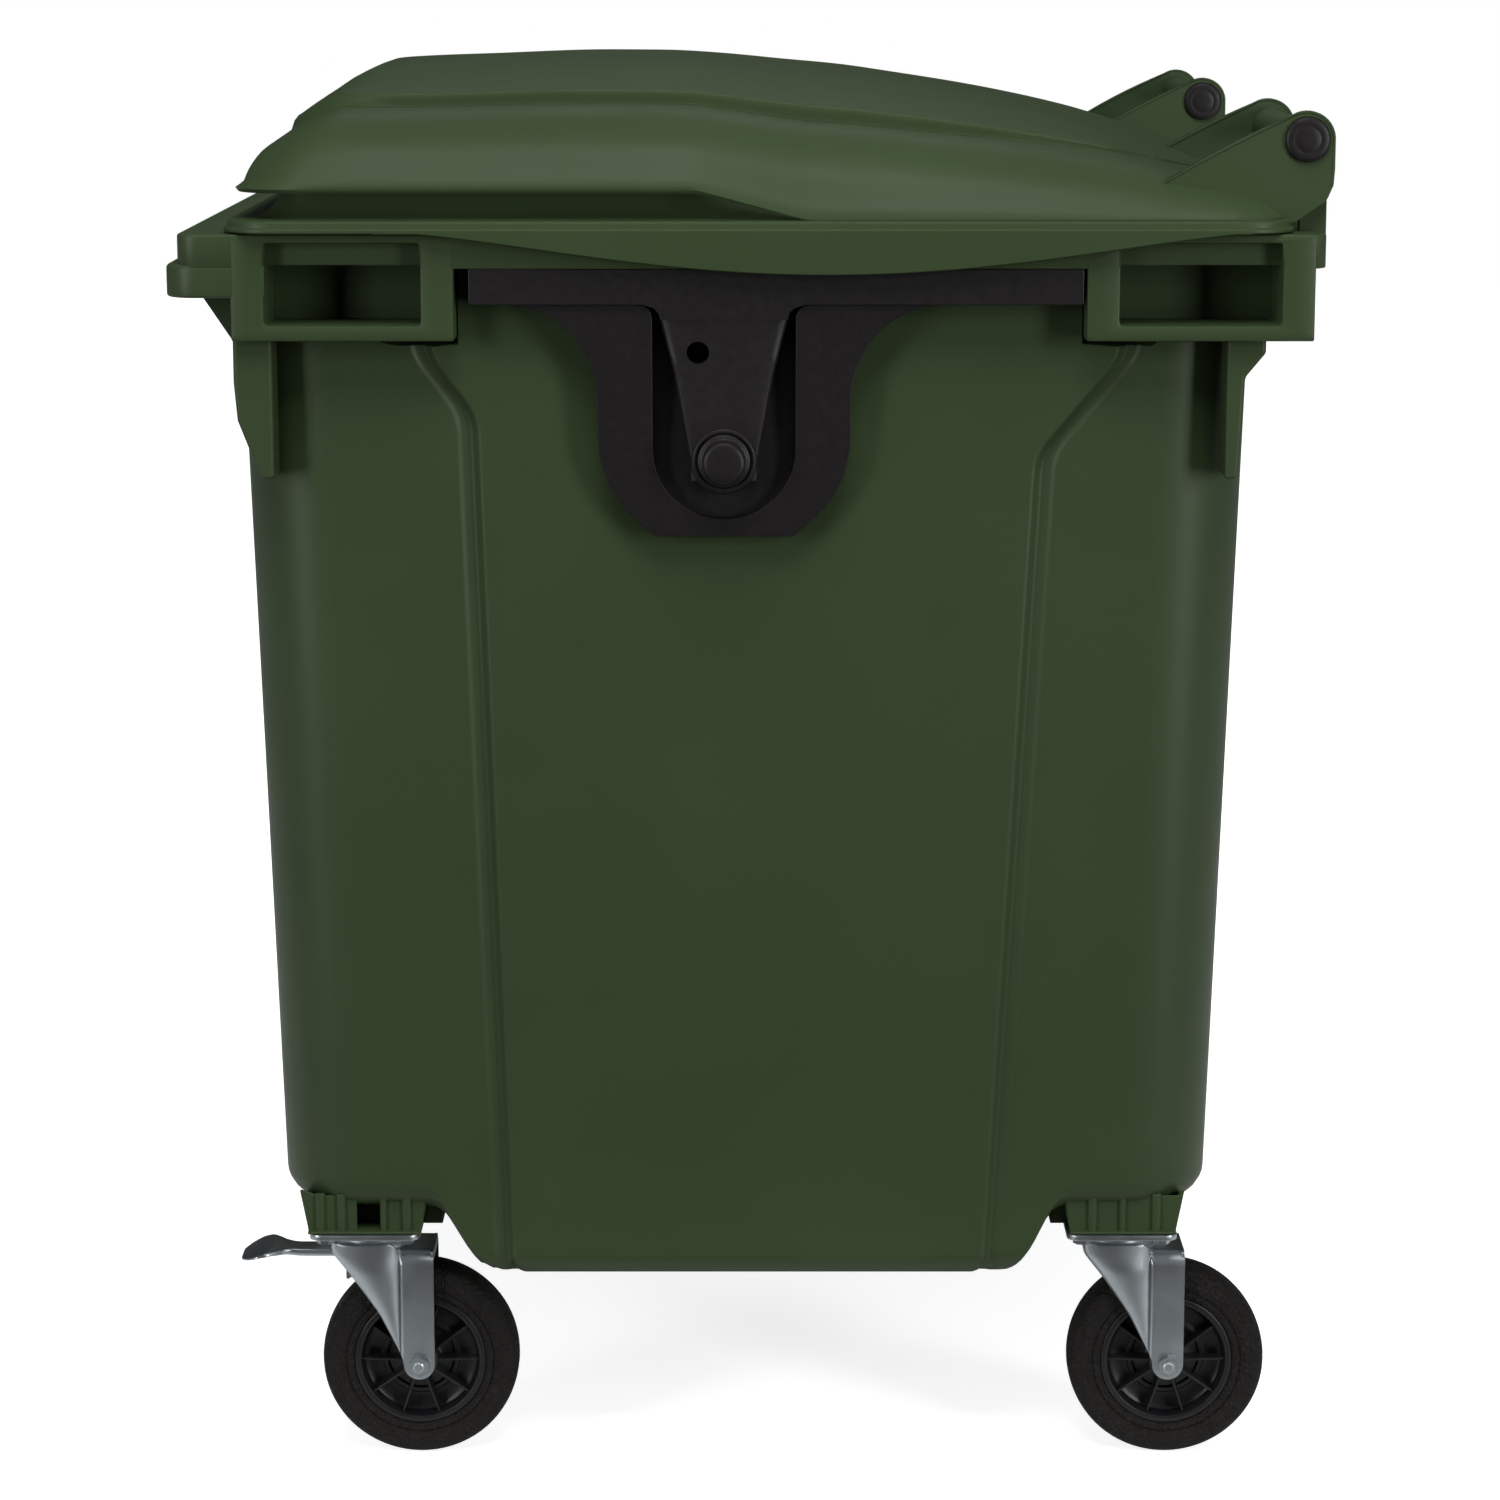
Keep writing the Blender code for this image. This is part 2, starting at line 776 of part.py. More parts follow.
def skirt_edge(x, y):
    """Lower edge of the skirt, which hangs in a shallow curve along each side."""
    span = (y - skirt_drop_front) / (skirt_drop_rear - skirt_drop_front)
    drop = math.sin(math.pi * min(max(span, 0.0), 1.0)) ** 1.2
    beside = smooth_share(abs(x), rim_half_length + rim_wall, skirt_half_length - lid_wall)
    return skirt_rest - (skirt_rest - skirt_lowest) * drop * beside


def lid_plan(half_x, front, rear, radius):
    """Rounded rectangle with points spread along its straight sides as well."""
    corners = plan_ring(half_x, (rear - front) / 2, (rear + front) / 2, radius, lid_perimeter_steps)
    points = []
    steps = lid_perimeter_steps + 1
    for quarter in range(4):
        arc = corners[quarter * steps:(quarter + 1) * steps]
        points.extend(arc)
        start = Vector(arc[-1])
        end = Vector(corners[((quarter + 1) * steps) % len(corners)])
        for part in range(1, lid_side_steps):
            spot = start.lerp(end, part / lid_side_steps)
            points.append((spot.x, spot.y))
    return points


def lid_rings(wall):
    """Plans and heights of the dome from its foot up. With a wall they are those of the hollow."""
    half = lid_half_length - wall
    front = lid_front + wall
    rear = lid_rear - wall
    outer = lid_plan(half, front, rear, lid_corner_radius - wall)
    inner = lid_plan(half - grip_depth, front + grip_depth, rear - grip_depth,
                     lid_corner_radius - wall - grip_depth / 2)
    shares = [grip_share(y) for x, y in outer]
    recess = [tuple(Vector(far).lerp(Vector(near), share * 0.94 + 0.06))
              for far, near, share in zip(outer, inner, shares)]
    roof = [lid_tail_height + lid_wall / 4 + (grip_roof - lid_tail_height) * share
            for share in shares]
    rings = []
    if wall > 0:
        ceiling = [min(low + 1.2 * wall, lid_height(x, y) - 1.4 * wall)
                   for (x, y), low in zip(outer, roof)]
        rings.append((recess, [skirt_lowest - overrun for point in recess]))
        rings.append((recess, ceiling))
        lower = [tuple(Vector(far).lerp(Vector(near), 0.1)) for far, near in zip(outer, inner)]
        rings.append((lower, [z + lid_wall / 8 for z in ceiling]))
    else:
        rings.append((recess, [skirt_top + lid_wall / 4 for point in recess]))
        rings.append((recess, roof))
        lower = [tuple(Vector(far).lerp(Vector(near), 0.05)) for far, near in zip(outer, inner)]
        rings.append((lower, [z + lid_wall / 8 for z in roof]))
        rings.append((outer, [z + lid_wall / 2 for z in roof]))
    for share in hollow_ring_shares if wall > 0 else lid_ring_shares:
        inset = share * (lid_rear - lid_front) / 2
        plan = lid_plan(half - inset, front + inset, rear - inset,
                        max(lid_corner_radius - wall - inset, lid_wall))
        floor = [z + lid_wall for z in roof] if wall == 0 else [0.0 for z in roof]
        heights = [max(lid_height(x, y) - 1.4 * wall, low) for (x, y), low in zip(plan, floor)]
        rings.append((plan, heights))
    return rings


def lid_solid(name, rings, hinge, group=cutters, material=None):
    work = bmesh.new()
    corners = [[work.verts.new((x, y - hinge_y, z - hinge_z)) for (x, y), z in zip(plan, heights)]
               for plan, heights in rings]
    solid = close_loft(name, work, corners, group, material, hinge)
    bent = bmesh.new()
    bent.from_mesh(solid.data)
    bmesh.ops.connect_verts_nonplanar(bent, angle_limit=math.radians(0.05), faces=bent.faces)
    bent.to_mesh(solid.data)
    bent.free()
    return solid


def make_lid(hinge):
    skirt = lid_plan(skirt_half_length, skirt_front, skirt_rear, skirt_edge_radius)
    outside = [(skirt, [skirt_edge(x, y) for x, y in skirt]),
               (skirt, [skirt_top for point in skirt])]
    lid = lid_solid("lid", outside + lid_rings(0.0), hinge, parts, green_plastic)
    hem = lid_plan(skirt_half_length - lid_wall, skirt_front + lid_wall, skirt_rear - lid_wall,
                   skirt_edge_radius - lid_wall)
    cut(lid, lid_solid("skirt_hollow", [(hem, [skirt_lowest - overrun for point in hem]),
                                        (hem, [skirt_top - lid_wall for point in hem])], hinge))
    cut(lid, lid_solid("dome_hollow", lid_rings(lid_wall), hinge))
    for side in (-1, 1):
        for x in (arm_inner_x, arm_outer_x):
            join(lid, lid_arm(side, x, hinge))
            low, high = sorted((side * (x - overrun), side * (x + arm_thickness + overrun)))
            cut(lid, rod("arm_bore_%d_%d" % (side + 1, round(x / arm_thickness)),
                         hinge_pin_radius + fit_gap, (low, 0, 0), (high, 0, 0), 16,
                         parent=hinge))
    return lid


def lid_arm(side, x, hinge):
    """Hinge arm: a plate that rises from the lid's back and ends round the pin."""
    points = [(arm_front, arm_front_height), (arm_shoulder_y, arm_shoulder_z)]
    for part in range(7):
        angle = math.radians(118 - 118 * part / 6)
        points.append((hinge_y + arm_end_radius * math.cos(angle),
                       hinge_z + arm_end_radius * math.sin(angle)))
    points.extend([(hinge_y + arm_end_radius, arm_heel_z), (arm_heel_y, arm_toe_z),
                   (arm_foot_y, arm_foot_z), (arm_front + 2 * arm_thickness, arm_foot_z + lid_wall),
                   (arm_front, arm_front_height - arm_thickness)])
    low, high = sorted((side * x, side * (x + arm_thickness)))
    local = [(y - hinge_y, z - hinge_z) for y, z in points]
    return prism("lid_arm_%d_%d" % (side + 1, round(x / arm_thickness)), local, low, high,
                 parent=hinge)


def make_hinge_pins(hinge):
    for side, tag in ((-1, "left"), (1, "right")):
        low, high = sorted((side * arm_inner_x, side * (arm_outer_x + arm_thickness)))
        rod("hinge_pin_" + tag, hinge_pin_radius, (low, 0, 0), (high, 0, 0), 16, parts, zinc_steel,
            hinge)
        for place, x, outward in (("inner", side * (arm_inner_x - fit_gap), -side),
                                  ("outer", side * (arm_outer_x + arm_thickness + fit_gap), side)):
            profile = [(0.0, cap_thickness), (cap_radius - 2 * cap_dome, cap_thickness),
                       (cap_radius, cap_thickness - cap_dome), (cap_radius, 0.0), (0.0, 0.0)]
            turned("hinge_cap_%s_%s" % (tag, place), profile, 16,
                   Matrix.Rotation(outward * math.pi / 2, 4, "Y"), (x, 0, 0), parts,
                   black_plastic, hinge)


# Trunnion brackets and pins
def wall_face(z):
    return tub_half_length(z) + panel_proud + fit_gap


def plate_face(z):
    share = (z - plate_base) / (bar_bottom - plate_base)
    return plate_face_base + (plate_face_top - plate_face_base) * share


def make_trunnion(side, tag):
    def near(z):
        return side * wall_face(z)

    def bar_back(z):
        return side * (wall_face(z) + plate_sunk)

    def far(z):
        return side * plate_face(z)

    y = trunnion_y
    neck = bar_bottom - plate_sunk
    flare = [(plate_bulge_half + plate_flare_width * out, neck - plate_flare_depth * down)
             for out, down in plate_flare_shares]
    flare.insert(0, (flare[0][0], bar_bottom + rim_wall))
    half = [(across, z, 0) for across, z in flare]
    half.extend([(plate_bulge_half, plate_bulge_z, plate_bulge_radius),
                 (plate_base_half, plate_base, rim_wall)])
    outline = rounded([(y - across, z, radius) for across, z, radius in half]
                      + [(y + across, z, radius) for across, z, radius in reversed(half)])
    plate = prism("trunnion_bracket_" + tag, outline, near, far, parts, black_plastic)
    bar_points = [(bar_front, bar_bottom), (bar_front, rim_bottom - fit_gap),
                  (bar_rear, rim_bottom - fit_gap), (bar_rear, bar_bottom)]
    join(plate, prism("trunnion_bar_" + tag, bar_points, bar_back, side * bar_face))
    pocket = rounded([(y - recess_half, recess_top, rim_wall),
                      (y - recess_half, recess_centre_z - recess_half, recess_half * 0.96),
                      (y + recess_half, recess_centre_z - recess_half, recess_half * 0.96),
                      (y + recess_half, recess_top, rim_wall)])
    cut(plate, prism("trunnion_recess_" + tag, pocket, side * recess_floor,
                     side * (bar_face + overrun)))
    tongue = [(y - tongue_top_half, bar_bottom + rim_wall), (y - tongue_base_half, trunnion_z),
              (y + tongue_base_half, trunnion_z), (y + tongue_top_half, bar_bottom + rim_wall)]
    join(plate, prism("trunnion_tongue_" + tag, tongue, side * (recess_floor - tub_wall / 2),
                      side * tongue_face))
    centre = (y, trunnion_z)
    join(plate, rod("trunnion_boss_" + tag, boss_radius, (side * (recess_floor - tub_wall / 3),
                    *centre), (side * boss_face, *centre), 24))
    cut(plate, rod("trunnion_bore_" + tag, trunnion_pin_radius + fit_gap,
                   (side * (wall_face(trunnion_z) - overrun), *centre),
                   (side * (boss_face + overrun), *centre), 24))
    cut(plate, rod("trunnion_hole_" + tag, bracket_hole_radius,
                   (side * (recess_floor + tub_wall), bracket_hole_y, bracket_hole_z),
                   (side * (bar_face + overrun), bracket_hole_y, bracket_hole_z), 16))
    collar_top = boss_face + fit_gap + trunnion_collar_length
    start = wall_face(trunnion_z) + fit_gap
    profile = [(0.0, trunnion_reach), (trunnion_pin_radius - cap_dome, trunnion_reach),
               (trunnion_pin_radius, trunnion_reach - cap_dome), (trunnion_pin_radius, collar_top),
               (trunnion_collar_radius, collar_top), (trunnion_collar_radius, boss_face + fit_gap),
               (trunnion_pin_radius, boss_face + fit_gap), (trunnion_pin_radius, start),
               (0.0, start)]
    turned("trunnion_pin_" + tag, profile, 24, Matrix.Rotation(side * math.pi / 2, 4, "Y"),
           (0, *centre), parts, black_plastic)


# Drain plug
def make_drain_plug():
    flange_top = keel_height - fit_gap
    flange_bottom = flange_top - drain_flange
    profile = [(0.0, keel_height + tub_wall + drain_flange),
               (drain_radius - cap_dome, keel_height + tub_wall + drain_flange),
               (drain_radius, keel_height + tub_wall), (drain_radius, flange_top),
               (drain_flange_radius, flange_top), (drain_flange_radius, flange_bottom),
               (0.0, flange_bottom)]
    plug = turned("drain_plug", profile, 24, None, (0, keel_middle_y, 0), parts, black_plastic)
    join(plug, box("drain_grip", (-drain_grip_half, keel_middle_y - drain_grip / 2,
                                  flange_bottom - drain_grip),
                   (drain_grip_half, keel_middle_y + drain_grip / 2,
                    flange_bottom + drain_flange / 2)))


# Caster pieces, each made once round its own axis and then shared
def tyre_mesh():
    half = [(tyre_bore, tyre_half_width - tyre_shoulder / 2),
            (tyre_bore + tyre_shoulder, tyre_half_width)]
    for drop, across in reversed(tyre_tread_shares):
        half.append((wheel_radius * (1 - drop),
                     tyre_tread_half + (tyre_half_width - tyre_tread_half) * across))
    profile = half + [(radius, -across) for radius, across in reversed(half)]
    item = turned("tyre_pattern", profile, wheel_sides,
                  along_x @ Matrix.Rotation(math.pi / wheel_sides, 4, "Z"), closed=True)
    return settle_pattern(item, tyre_rubber)


def hub_mesh():
    inner = hub_radius - hub_rim_wall
    bore = axle_radius + fit_gap
    profile = [(bore, hub_boss_half), (hub_boss_radius, hub_boss_half),
               (hub_boss_radius, hub_web_half), (inner, hub_web_half), (inner, hub_half_width),
               (hub_radius, hub_half_width), (hub_radius, -hub_half_width),
               (inner, -hub_half_width), (inner, -hub_web_half), (hub_boss_radius, -hub_web_half),
               (hub_boss_radius, -hub_boss_half), (bore, -hub_boss_half)]
    item = turned("hub_pattern", profile, wheel_sides,
                  along_x @ Matrix.Rotation(math.pi / wheel_sides, 4, "Z"), closed=True)
    tools = [item]
    for index in range(hub_rib_count):
        rib = box("rib_pattern", (-hub_rib_half, -hub_rib_thickness / 2, hub_boss_radius - cap_dome),
                  (hub_rib_half, hub_rib_thickness / 2, inner + hub_rim_wall / 2))
        rib.rotation_euler = (math.pi * (2 * index / hub_rib_count + 0.5), 0, 0)
        join(item, rib)
        tools.append(rib)
    return settle_pattern(item, black_plastic, tools)


def settle_pattern(item, material, tools=None):
    mesh = settle(item)
    for tool in tools or [item]:
        bpy.data.objects.remove(tool, do_unlink=True)
    mesh.materials.clear()
    mesh.materials.append(material)
    shade(mesh)
    return mesh


def caster_plate_mesh():
    corners = [(-plate_half_y, -plate_half_x), (plate_half_y, -plate_half_x),
               (plate_half_y, plate_half_x), (-plate_half_y, plate_half_x)]
    outline = rounded([(y, x, plate_corner) for y, x in corners], math.radians(30))
    work = bmesh.new()
    rings = [[work.verts.new((x, y, z)) for y, x in outline]
             for z in (plate_bottom_z, plate_top_z)]
    item = close_loft("plate_pattern", work, rings)
    race = rod("race_pattern", race_radius, (0, 0, plate_bottom_z - race_depth),
               (0, 0, plate_top_z - plate_thickness / 2), 16)
    bore = rod("plate_bore_pattern", kingpin_radius + fit_gap, (0, 0, bowl_floor - overrun),
               (0, 0, plate_top_z + overrun), 12)
    join(item, race)
    cut(item, bore)
    tools = [item, race, bore]
    for across in (-1, 1):
        for along in (-1, 1):
            spot = (across * plate_bolt_x, along * plate_bolt_y)
            hole = rod("plate_hole_pattern", mount_bolt_radius + fit_gap,
                       (*spot, plate_bottom_z - overrun), (*spot, plate_top_z + overrun), 8)
            cut(item, hole)
            tools.append(hole)
    return settle_pattern(item, zinc_steel, tools)


def fork_mesh(braked):
    crown_bottom = crown_top - crown_thickness
    leg_outer = leg_inner + leg_thickness
    item = box("fork_pattern", (-leg_outer + cap_dome / 2, leg_front, crown_bottom),
               (leg_outer - cap_dome / 2, leg_rear, crown_top))
    bowl_base = (crown_top + crown_bottom) / 2
    bore = kingpin_radius + fit_gap
    profile = [(bore, bowl_floor), (bowl_inner - cap_dome, bowl_floor), (bowl_inner, bowl_top),
               (bowl_outer, bowl_top), (bowl_outer - 2 * cap_dome, bowl_base), (bore, bowl_base)]
    bowl = turned("bowl_pattern", profile, 16, closed=True)
    join(item, bowl)
    tools = [item, bowl]
    for side in (-1, 1):
        points = [(leg_front, crown_top - cap_dome / 2), (leg_front, leg_cheek_z),
                  (leg_mid_y, leg_mid_z)]
        for part in range(7):
            angle = math.radians(205 + 155 * part / 6)
            points.append((trail + leg_end_radius * math.cos(angle),
                           wheel_height + leg_end_radius * math.sin(angle)))
        points.append((trail + leg_end_radius, crown_top - cap_dome / 2))
        low, high = sorted((side * leg_inner, side * leg_outer))
        leg = prism("leg_pattern", points, low, high)
        join(item, leg)
        tools.append(leg)
    holes = [rod("fork_bore_pattern", bore, (0, 0, crown_bottom - overrun),
                 (0, 0, crown_top + overrun), 12),
             rod("axle_bore_pattern", axle_radius + fit_gap,
                 (-leg_outer - overrun, trail, wheel_height),
                 (leg_outer + overrun, trail, wheel_height), 12)]
    if braked:
        depth = leg_inner + leg_thickness / 2 + fit_gap
        holes.append(rod("pivot_bore_pattern", pedal_pin_radius + fit_gap,
                         (-depth, pedal_pivot_y, pedal_pivot_z),
                         (depth, pedal_pivot_y, pedal_pivot_z), 12))
    cut(item, *holes)
    return settle_pattern(item, zinc_steel, tools + holes)


def kingpin_mesh():
    crown_bottom = crown_top - crown_thickness
    low = crown_bottom - fit_gap
    high = plate_top_z + fit_gap
    profile = [(0.0, high + kingpin_top_head),
               (kingpin_head_radius - cap_dome, high + kingpin_top_head),
               (kingpin_head_radius, high), (kingpin_radius, high), (kingpin_radius, low),
               (kingpin_head_radius, low), (kingpin_head_radius - cap_dome, low - kingpin_head),
               (0.0, low - kingpin_head)]
    return settle_pattern(turned("kingpin_pattern", profile, 12), zinc_steel)


def axle_bolt_mesh():
    """Axle along X with its hexagon head at -X."""
    face = leg_inner + leg_thickness + fit_gap
    tail = face + nut_thickness + axle_tail
    item = rod("axle_pattern", axle_radius, (-face - axle_head / 2, 0, 0), (tail, 0, 0), 12)
    head = rod("axle_head_pattern", axle_head_radius, (-face - axle_head, 0, 0), (-face, 0, 0), 6)
    join(item, head)
    return settle_pattern(item, zinc_steel, [item, head])


def axle_nut_mesh():
    face = leg_inner + leg_thickness + fit_gap
    item = rod("nut_pattern", nut_radius, (face, 0, 0), (face + nut_thickness, 0, 0), 6)
    bore = rod("nut_bore_pattern", axle_radius + fit_gap, (face - overrun, 0, 0),
               (face + nut_thickness + overrun, 0, 0), 12)
    cut(item, bore)
    return settle_pattern(item, zinc_steel, [item, bore])


def mount_bolt_mesh():
    low = plate_bottom_z - fit_gap
    item = rod("mount_bolt_pattern", mount_bolt_radius, (0, 0, low - mount_bolt_head / 2),
               (0, 0, low + mount_bolt_length), 8)
    head = rod("mount_head_pattern", mount_bolt_head_radius, (0, 0, low - mount_bolt_head),
               (0, 0, low), 6)
    join(item, head)
    return settle_pattern(item, zinc_steel, [item, head])


def pedal_mesh():
    """Brake pedal about its pivot pin: pad in front, lever under the crown, shoe over the tyre."""
    def local(points):
        return [(y - pedal_pivot_y, z - pedal_pivot_z) for y, z in points]

    lever = prism("pedal_pattern", local([
        (pedal_tail_y, pedal_bottom + cap_dome), (pedal_tail_y, pedal_top - cap_dome),
        (pedal_tail_y - 2 * cap_dome, pedal_top), (pedal_neck_y, pedal_top),
        (pedal_neck_y, pedal_bottom), (shoe_front_y, pedal_bottom), (shoe_front_y, shoe_front_z),
        (shoe_rear_y, shoe_rear_z), (shoe_rear_y, pedal_bottom),
        (pedal_tail_y - 2 * cap_dome, pedal_bottom)]), -pedal_half_width, pedal_half_width)
    corner = pedal_pad_half - pedal_tip_half
    work = bmesh.new()
    rings = []
    for x, back in ((-pedal_pad_half, corner), (-pedal_tip_half, 0.0), (pedal_tip_half, 0.0),
                    (pedal_pad_half, corner)):
        outline = local([
            (pedal_neck_y + cap_dome, pedal_top - cap_dome / 2), (pedal_hump_y, pedal_hump_z),
            (pedal_tip_y + back + 2 * cap_dome, pedal_tip_z + (back + 4 * cap_dome) / 2),
            (pedal_tip_y + back, pedal_tip_z + back / 2),
            (pedal_tip_y + back + cap_dome, pedal_tip_z + back / 2 - cap_dome),
            (pedal_hump_y, pedal_bottom + cap_dome),
            (pedal_neck_y + cap_dome, pedal_bottom + cap_dome / 2)])
        rings.append([work.verts.new((x, y, z)) for y, z in outline])
    pad = close_loft("pad_pattern", work, rings)
    reach = leg_inner + leg_thickness / 2
    pin = rod("pivot_pattern", pedal_pin_radius, (-reach, 0, 0), (reach, 0, 0), 12)
    join(lever, pad, pin)
    return settle_pattern(lever, zinc_steel, [lever, pad, pin])


def make_casters():
    plate = caster_plate_mesh()
    forks = {True: fork_mesh(True), False: fork_mesh(False)}
    kingpin = kingpin_mesh()
    tyre = tyre_mesh()
    hub = hub_mesh()
    bolt = axle_bolt_mesh()
    nut = axle_nut_mesh()
    mount_bolt = mount_bolt_mesh()
    pedal = pedal_mesh()
    for name, x, y, braked in casters:
        side = 1 if x > 0 else -1
        swivel = axis_empty("swivel_axis_" + name, (x, y, 0))
        link("caster_plate_" + name, plate, parts, None, swivel)
        link("caster_fork_" + name, forks[braked], parts, None, swivel)
        link("kingpin_" + name, kingpin, parts, None, swivel)
        axle = axis_empty("wheel_axis_" + name, (0, trail, wheel_height), swivel)
        link("tyre_" + name, tyre, parts, None, axle)
        link("wheel_hub_" + name, hub, parts, None, axle)
        turn = 0 if side > 0 else math.pi
        for piece in (link("axle_bolt_" + name, bolt, parts, None, axle),
                      link("axle_nut_" + name, nut, parts, None, axle)):
            piece.rotation_euler = (0, 0, turn)
        corners = [(across, along) for across in (-1, 1) for along in (-1, 1)]
        for index, (across, along) in enumerate(corners):
            piece = link("mount_bolt_%s_%d" % (name, index + 1), mount_bolt, parts, None, swivel)
            piece.location = (across * plate_bolt_x, along * plate_bolt_y, 0)
        if braked:
            pivot = axis_empty("pedal_axis_" + name, (0, pedal_pivot_y, pedal_pivot_z), swivel)
            link("brake_pedal_" + name, pedal, parts, None, pivot)


# The whole container
hinge_axis = axis_empty("lid_hinge_axis", (0, hinge_y, hinge_z))
make_body()
make_lid(hinge_axis)
make_hinge_pins(hinge_axis)
make_trunnion(-1, "left")
make_trunnion(1, "right")
make_drain_plug()
make_casters()
bpy.context.view_layer.update()
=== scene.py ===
"""Looks of the four-wheeled waste container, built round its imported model.

Metres, +Z up. The front faces -Y, the hinges are at +Y, and the camera looks along -X.
"""

import math

import bmesh
import bpy
import numpy as np
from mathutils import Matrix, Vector


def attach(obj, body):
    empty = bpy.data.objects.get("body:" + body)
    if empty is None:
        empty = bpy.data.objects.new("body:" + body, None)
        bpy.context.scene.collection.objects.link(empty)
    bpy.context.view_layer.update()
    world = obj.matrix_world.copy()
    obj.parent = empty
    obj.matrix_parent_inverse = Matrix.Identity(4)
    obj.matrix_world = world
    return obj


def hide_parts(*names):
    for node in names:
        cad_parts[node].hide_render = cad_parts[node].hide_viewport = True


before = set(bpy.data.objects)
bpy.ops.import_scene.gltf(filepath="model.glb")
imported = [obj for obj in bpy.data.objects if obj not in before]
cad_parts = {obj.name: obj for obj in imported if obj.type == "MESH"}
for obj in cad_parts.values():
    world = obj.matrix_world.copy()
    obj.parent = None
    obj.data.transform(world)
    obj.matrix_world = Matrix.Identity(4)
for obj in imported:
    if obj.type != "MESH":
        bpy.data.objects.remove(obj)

bl_info = {
    "name": "Wheeled waste container",
    "version": (1, 0, 0),
    "blender": (4, 5, 0),
    "location": "View3D > Sidebar > Container",
    "description": "Moulded container with a domed lid, lifting brackets and swivel casters",
    "category": "Object",
}

SIDES = (("left", -1), ("right", 1))
# Kingpins in X and Y, and which casters have a brake. The axle trails behind the kingpin.
SWIVEL_X = 0.523
FRONT_SWIVEL_Y = -0.384
REAR_SWIVEL_Y = 0.371
CASTERS = (("front_left", -SWIVEL_X, FRONT_SWIVEL_Y, True),
           ("front_right", SWIVEL_X, FRONT_SWIVEL_Y, True),
           ("rear_left", -SWIVEL_X, REAR_SWIVEL_Y, False),
           ("rear_right", SWIVEL_X, REAR_SWIVEL_Y, False))
TRAIL = 0.0503
AXLE_HEIGHT = 0.09944
# Y and Z of the lid's hinge pins and of the lifting pins
HINGE = (0.5235, 1.327)
LIFTING_PIN = (-0.0245, 1.029)


# Sizes and colours that a user may change
class ContainerSizes(bpy.types.PropertyGroup):
    wall: bpy.props.FloatProperty(
        name="Wall", description="Thickness of the tub's wall", default=0.005, unit="LENGTH")
    panel_proud: bpy.props.FloatProperty(
        name="Panel height", description="How far the middle panel of an end wall stands proud",
        default=0.0065, unit="LENGTH")
    groove_depth: bpy.props.FloatProperty(
        name="Groove depth", description="Depth of the groove beside the middle panel",
        default=0.0028, unit="LENGTH")
    floor_radius: bpy.props.FloatProperty(
        name="Floor rounding", description="Radius of the tub's lower edge",
        default=0.030, unit="LENGTH")
    lip_height: bpy.props.FloatProperty(
        name="Lip height", description="Height of the lid's lip above the floor",
        default=1.282, unit="LENGTH")
    crown: bpy.props.FloatProperty(
        name="Crown height", description="Highest point of the lid above the floor",
        default=1.3922, unit="LENGTH")
    grip_depth: bpy.props.FloatProperty(
        name="Grip depth", description="How far the grip runs in under the lid's lip",
        default=0.038, unit="LENGTH")
    wheel_radius: bpy.props.FloatProperty(
        name="Wheel radius", description="Outer radius of a tyre",
        default=AXLE_HEIGHT, unit="LENGTH")


def colour_property(name, description, code):
    """Property whose default is an sRGB hex code."""
    return bpy.props.FloatVectorProperty(name=name, description=description, size=4,
                                         subtype="COLOR", min=0.0, max=1.0,
                                         default=linear_colour(code))


def linear_colour(code):
    """Linear colour of an sRGB hex code, with full cover."""
    share = np.array([int(code[index:index + 2], 16) for index in (1, 3, 5)]) / 255
    light = np.where(share <= 0.04045, share / 12.92, ((share + 0.055) / 1.055) ** 2.4)
    return (*light.tolist(), 1.0)


class ContainerColours(bpy.types.PropertyGroup):
    green: colour_property("Green", "Dyed polyethylene of tub and lid", "#35432A")
    black: colour_property("Black", "Nylon of the brackets and caps", "#191617")
    hub: colour_property("Hub", "Black polypropylene of the wheel hubs", "#141416")
    rubber: colour_property("Rubber", "Solid rubber of the tyres", "#110E0C")
    zinc: colour_property("Zinc", "Bright zinc plating of the steel parts", "#B2B9BC")
    floor: colour_property("Floor", "Pale studio floor and background", "#FFFFFF")


# Shape tools
def grid_faces(rows, columns, join_rows=False, join_columns=False):
    """Corner numbers of the squares between the lines of a grid."""
    row = np.arange(rows if join_rows else rows - 1)
    column = np.arange(columns if join_columns else columns - 1)
    row, column = np.meshgrid(row, column, indexing="ij")
    below, beside = (row + 1) % rows, (column + 1) % columns
    corners = [row * columns + column, row * columns + beside,
               below * columns + beside, below * columns + column]
    return np.stack(corners, -1).reshape(-1, 4).tolist()


def skin(points, around=True, along=False, caps=False):
    """A grid of points (rows, columns, 3) with its squares. Around joins the columns into rings,
    along joins the rows, and caps close the first and last ring with flat faces."""
    rows, columns = points.shape[:2]
    faces = grid_faces(rows, columns, along, around)
    if caps:
        faces.append(list(range(columns))[::-1])
        faces.append(list(range((rows - 1) * columns, rows * columns)))
    return points.reshape(-1, 3), faces


def stack_shapes(shapes):
    """Several shapes as one, with the face numbers moved on past the points before them."""
    points, faces, start = [], [], 0
    for spots, squares in shapes:
        points.append(spots)
        faces.extend([[corner + start for corner in square] for square in squares])
        start += len(spots)
    return np.concatenate(points), faces


# Points closer than this become one
MERGE_DISTANCE = 0.00001


def link_new(name, data):
    """A new object in the scene that carries the data."""
    item = bpy.data.objects.new(name, data)
    bpy.context.scene.collection.objects.link(item)
    return item


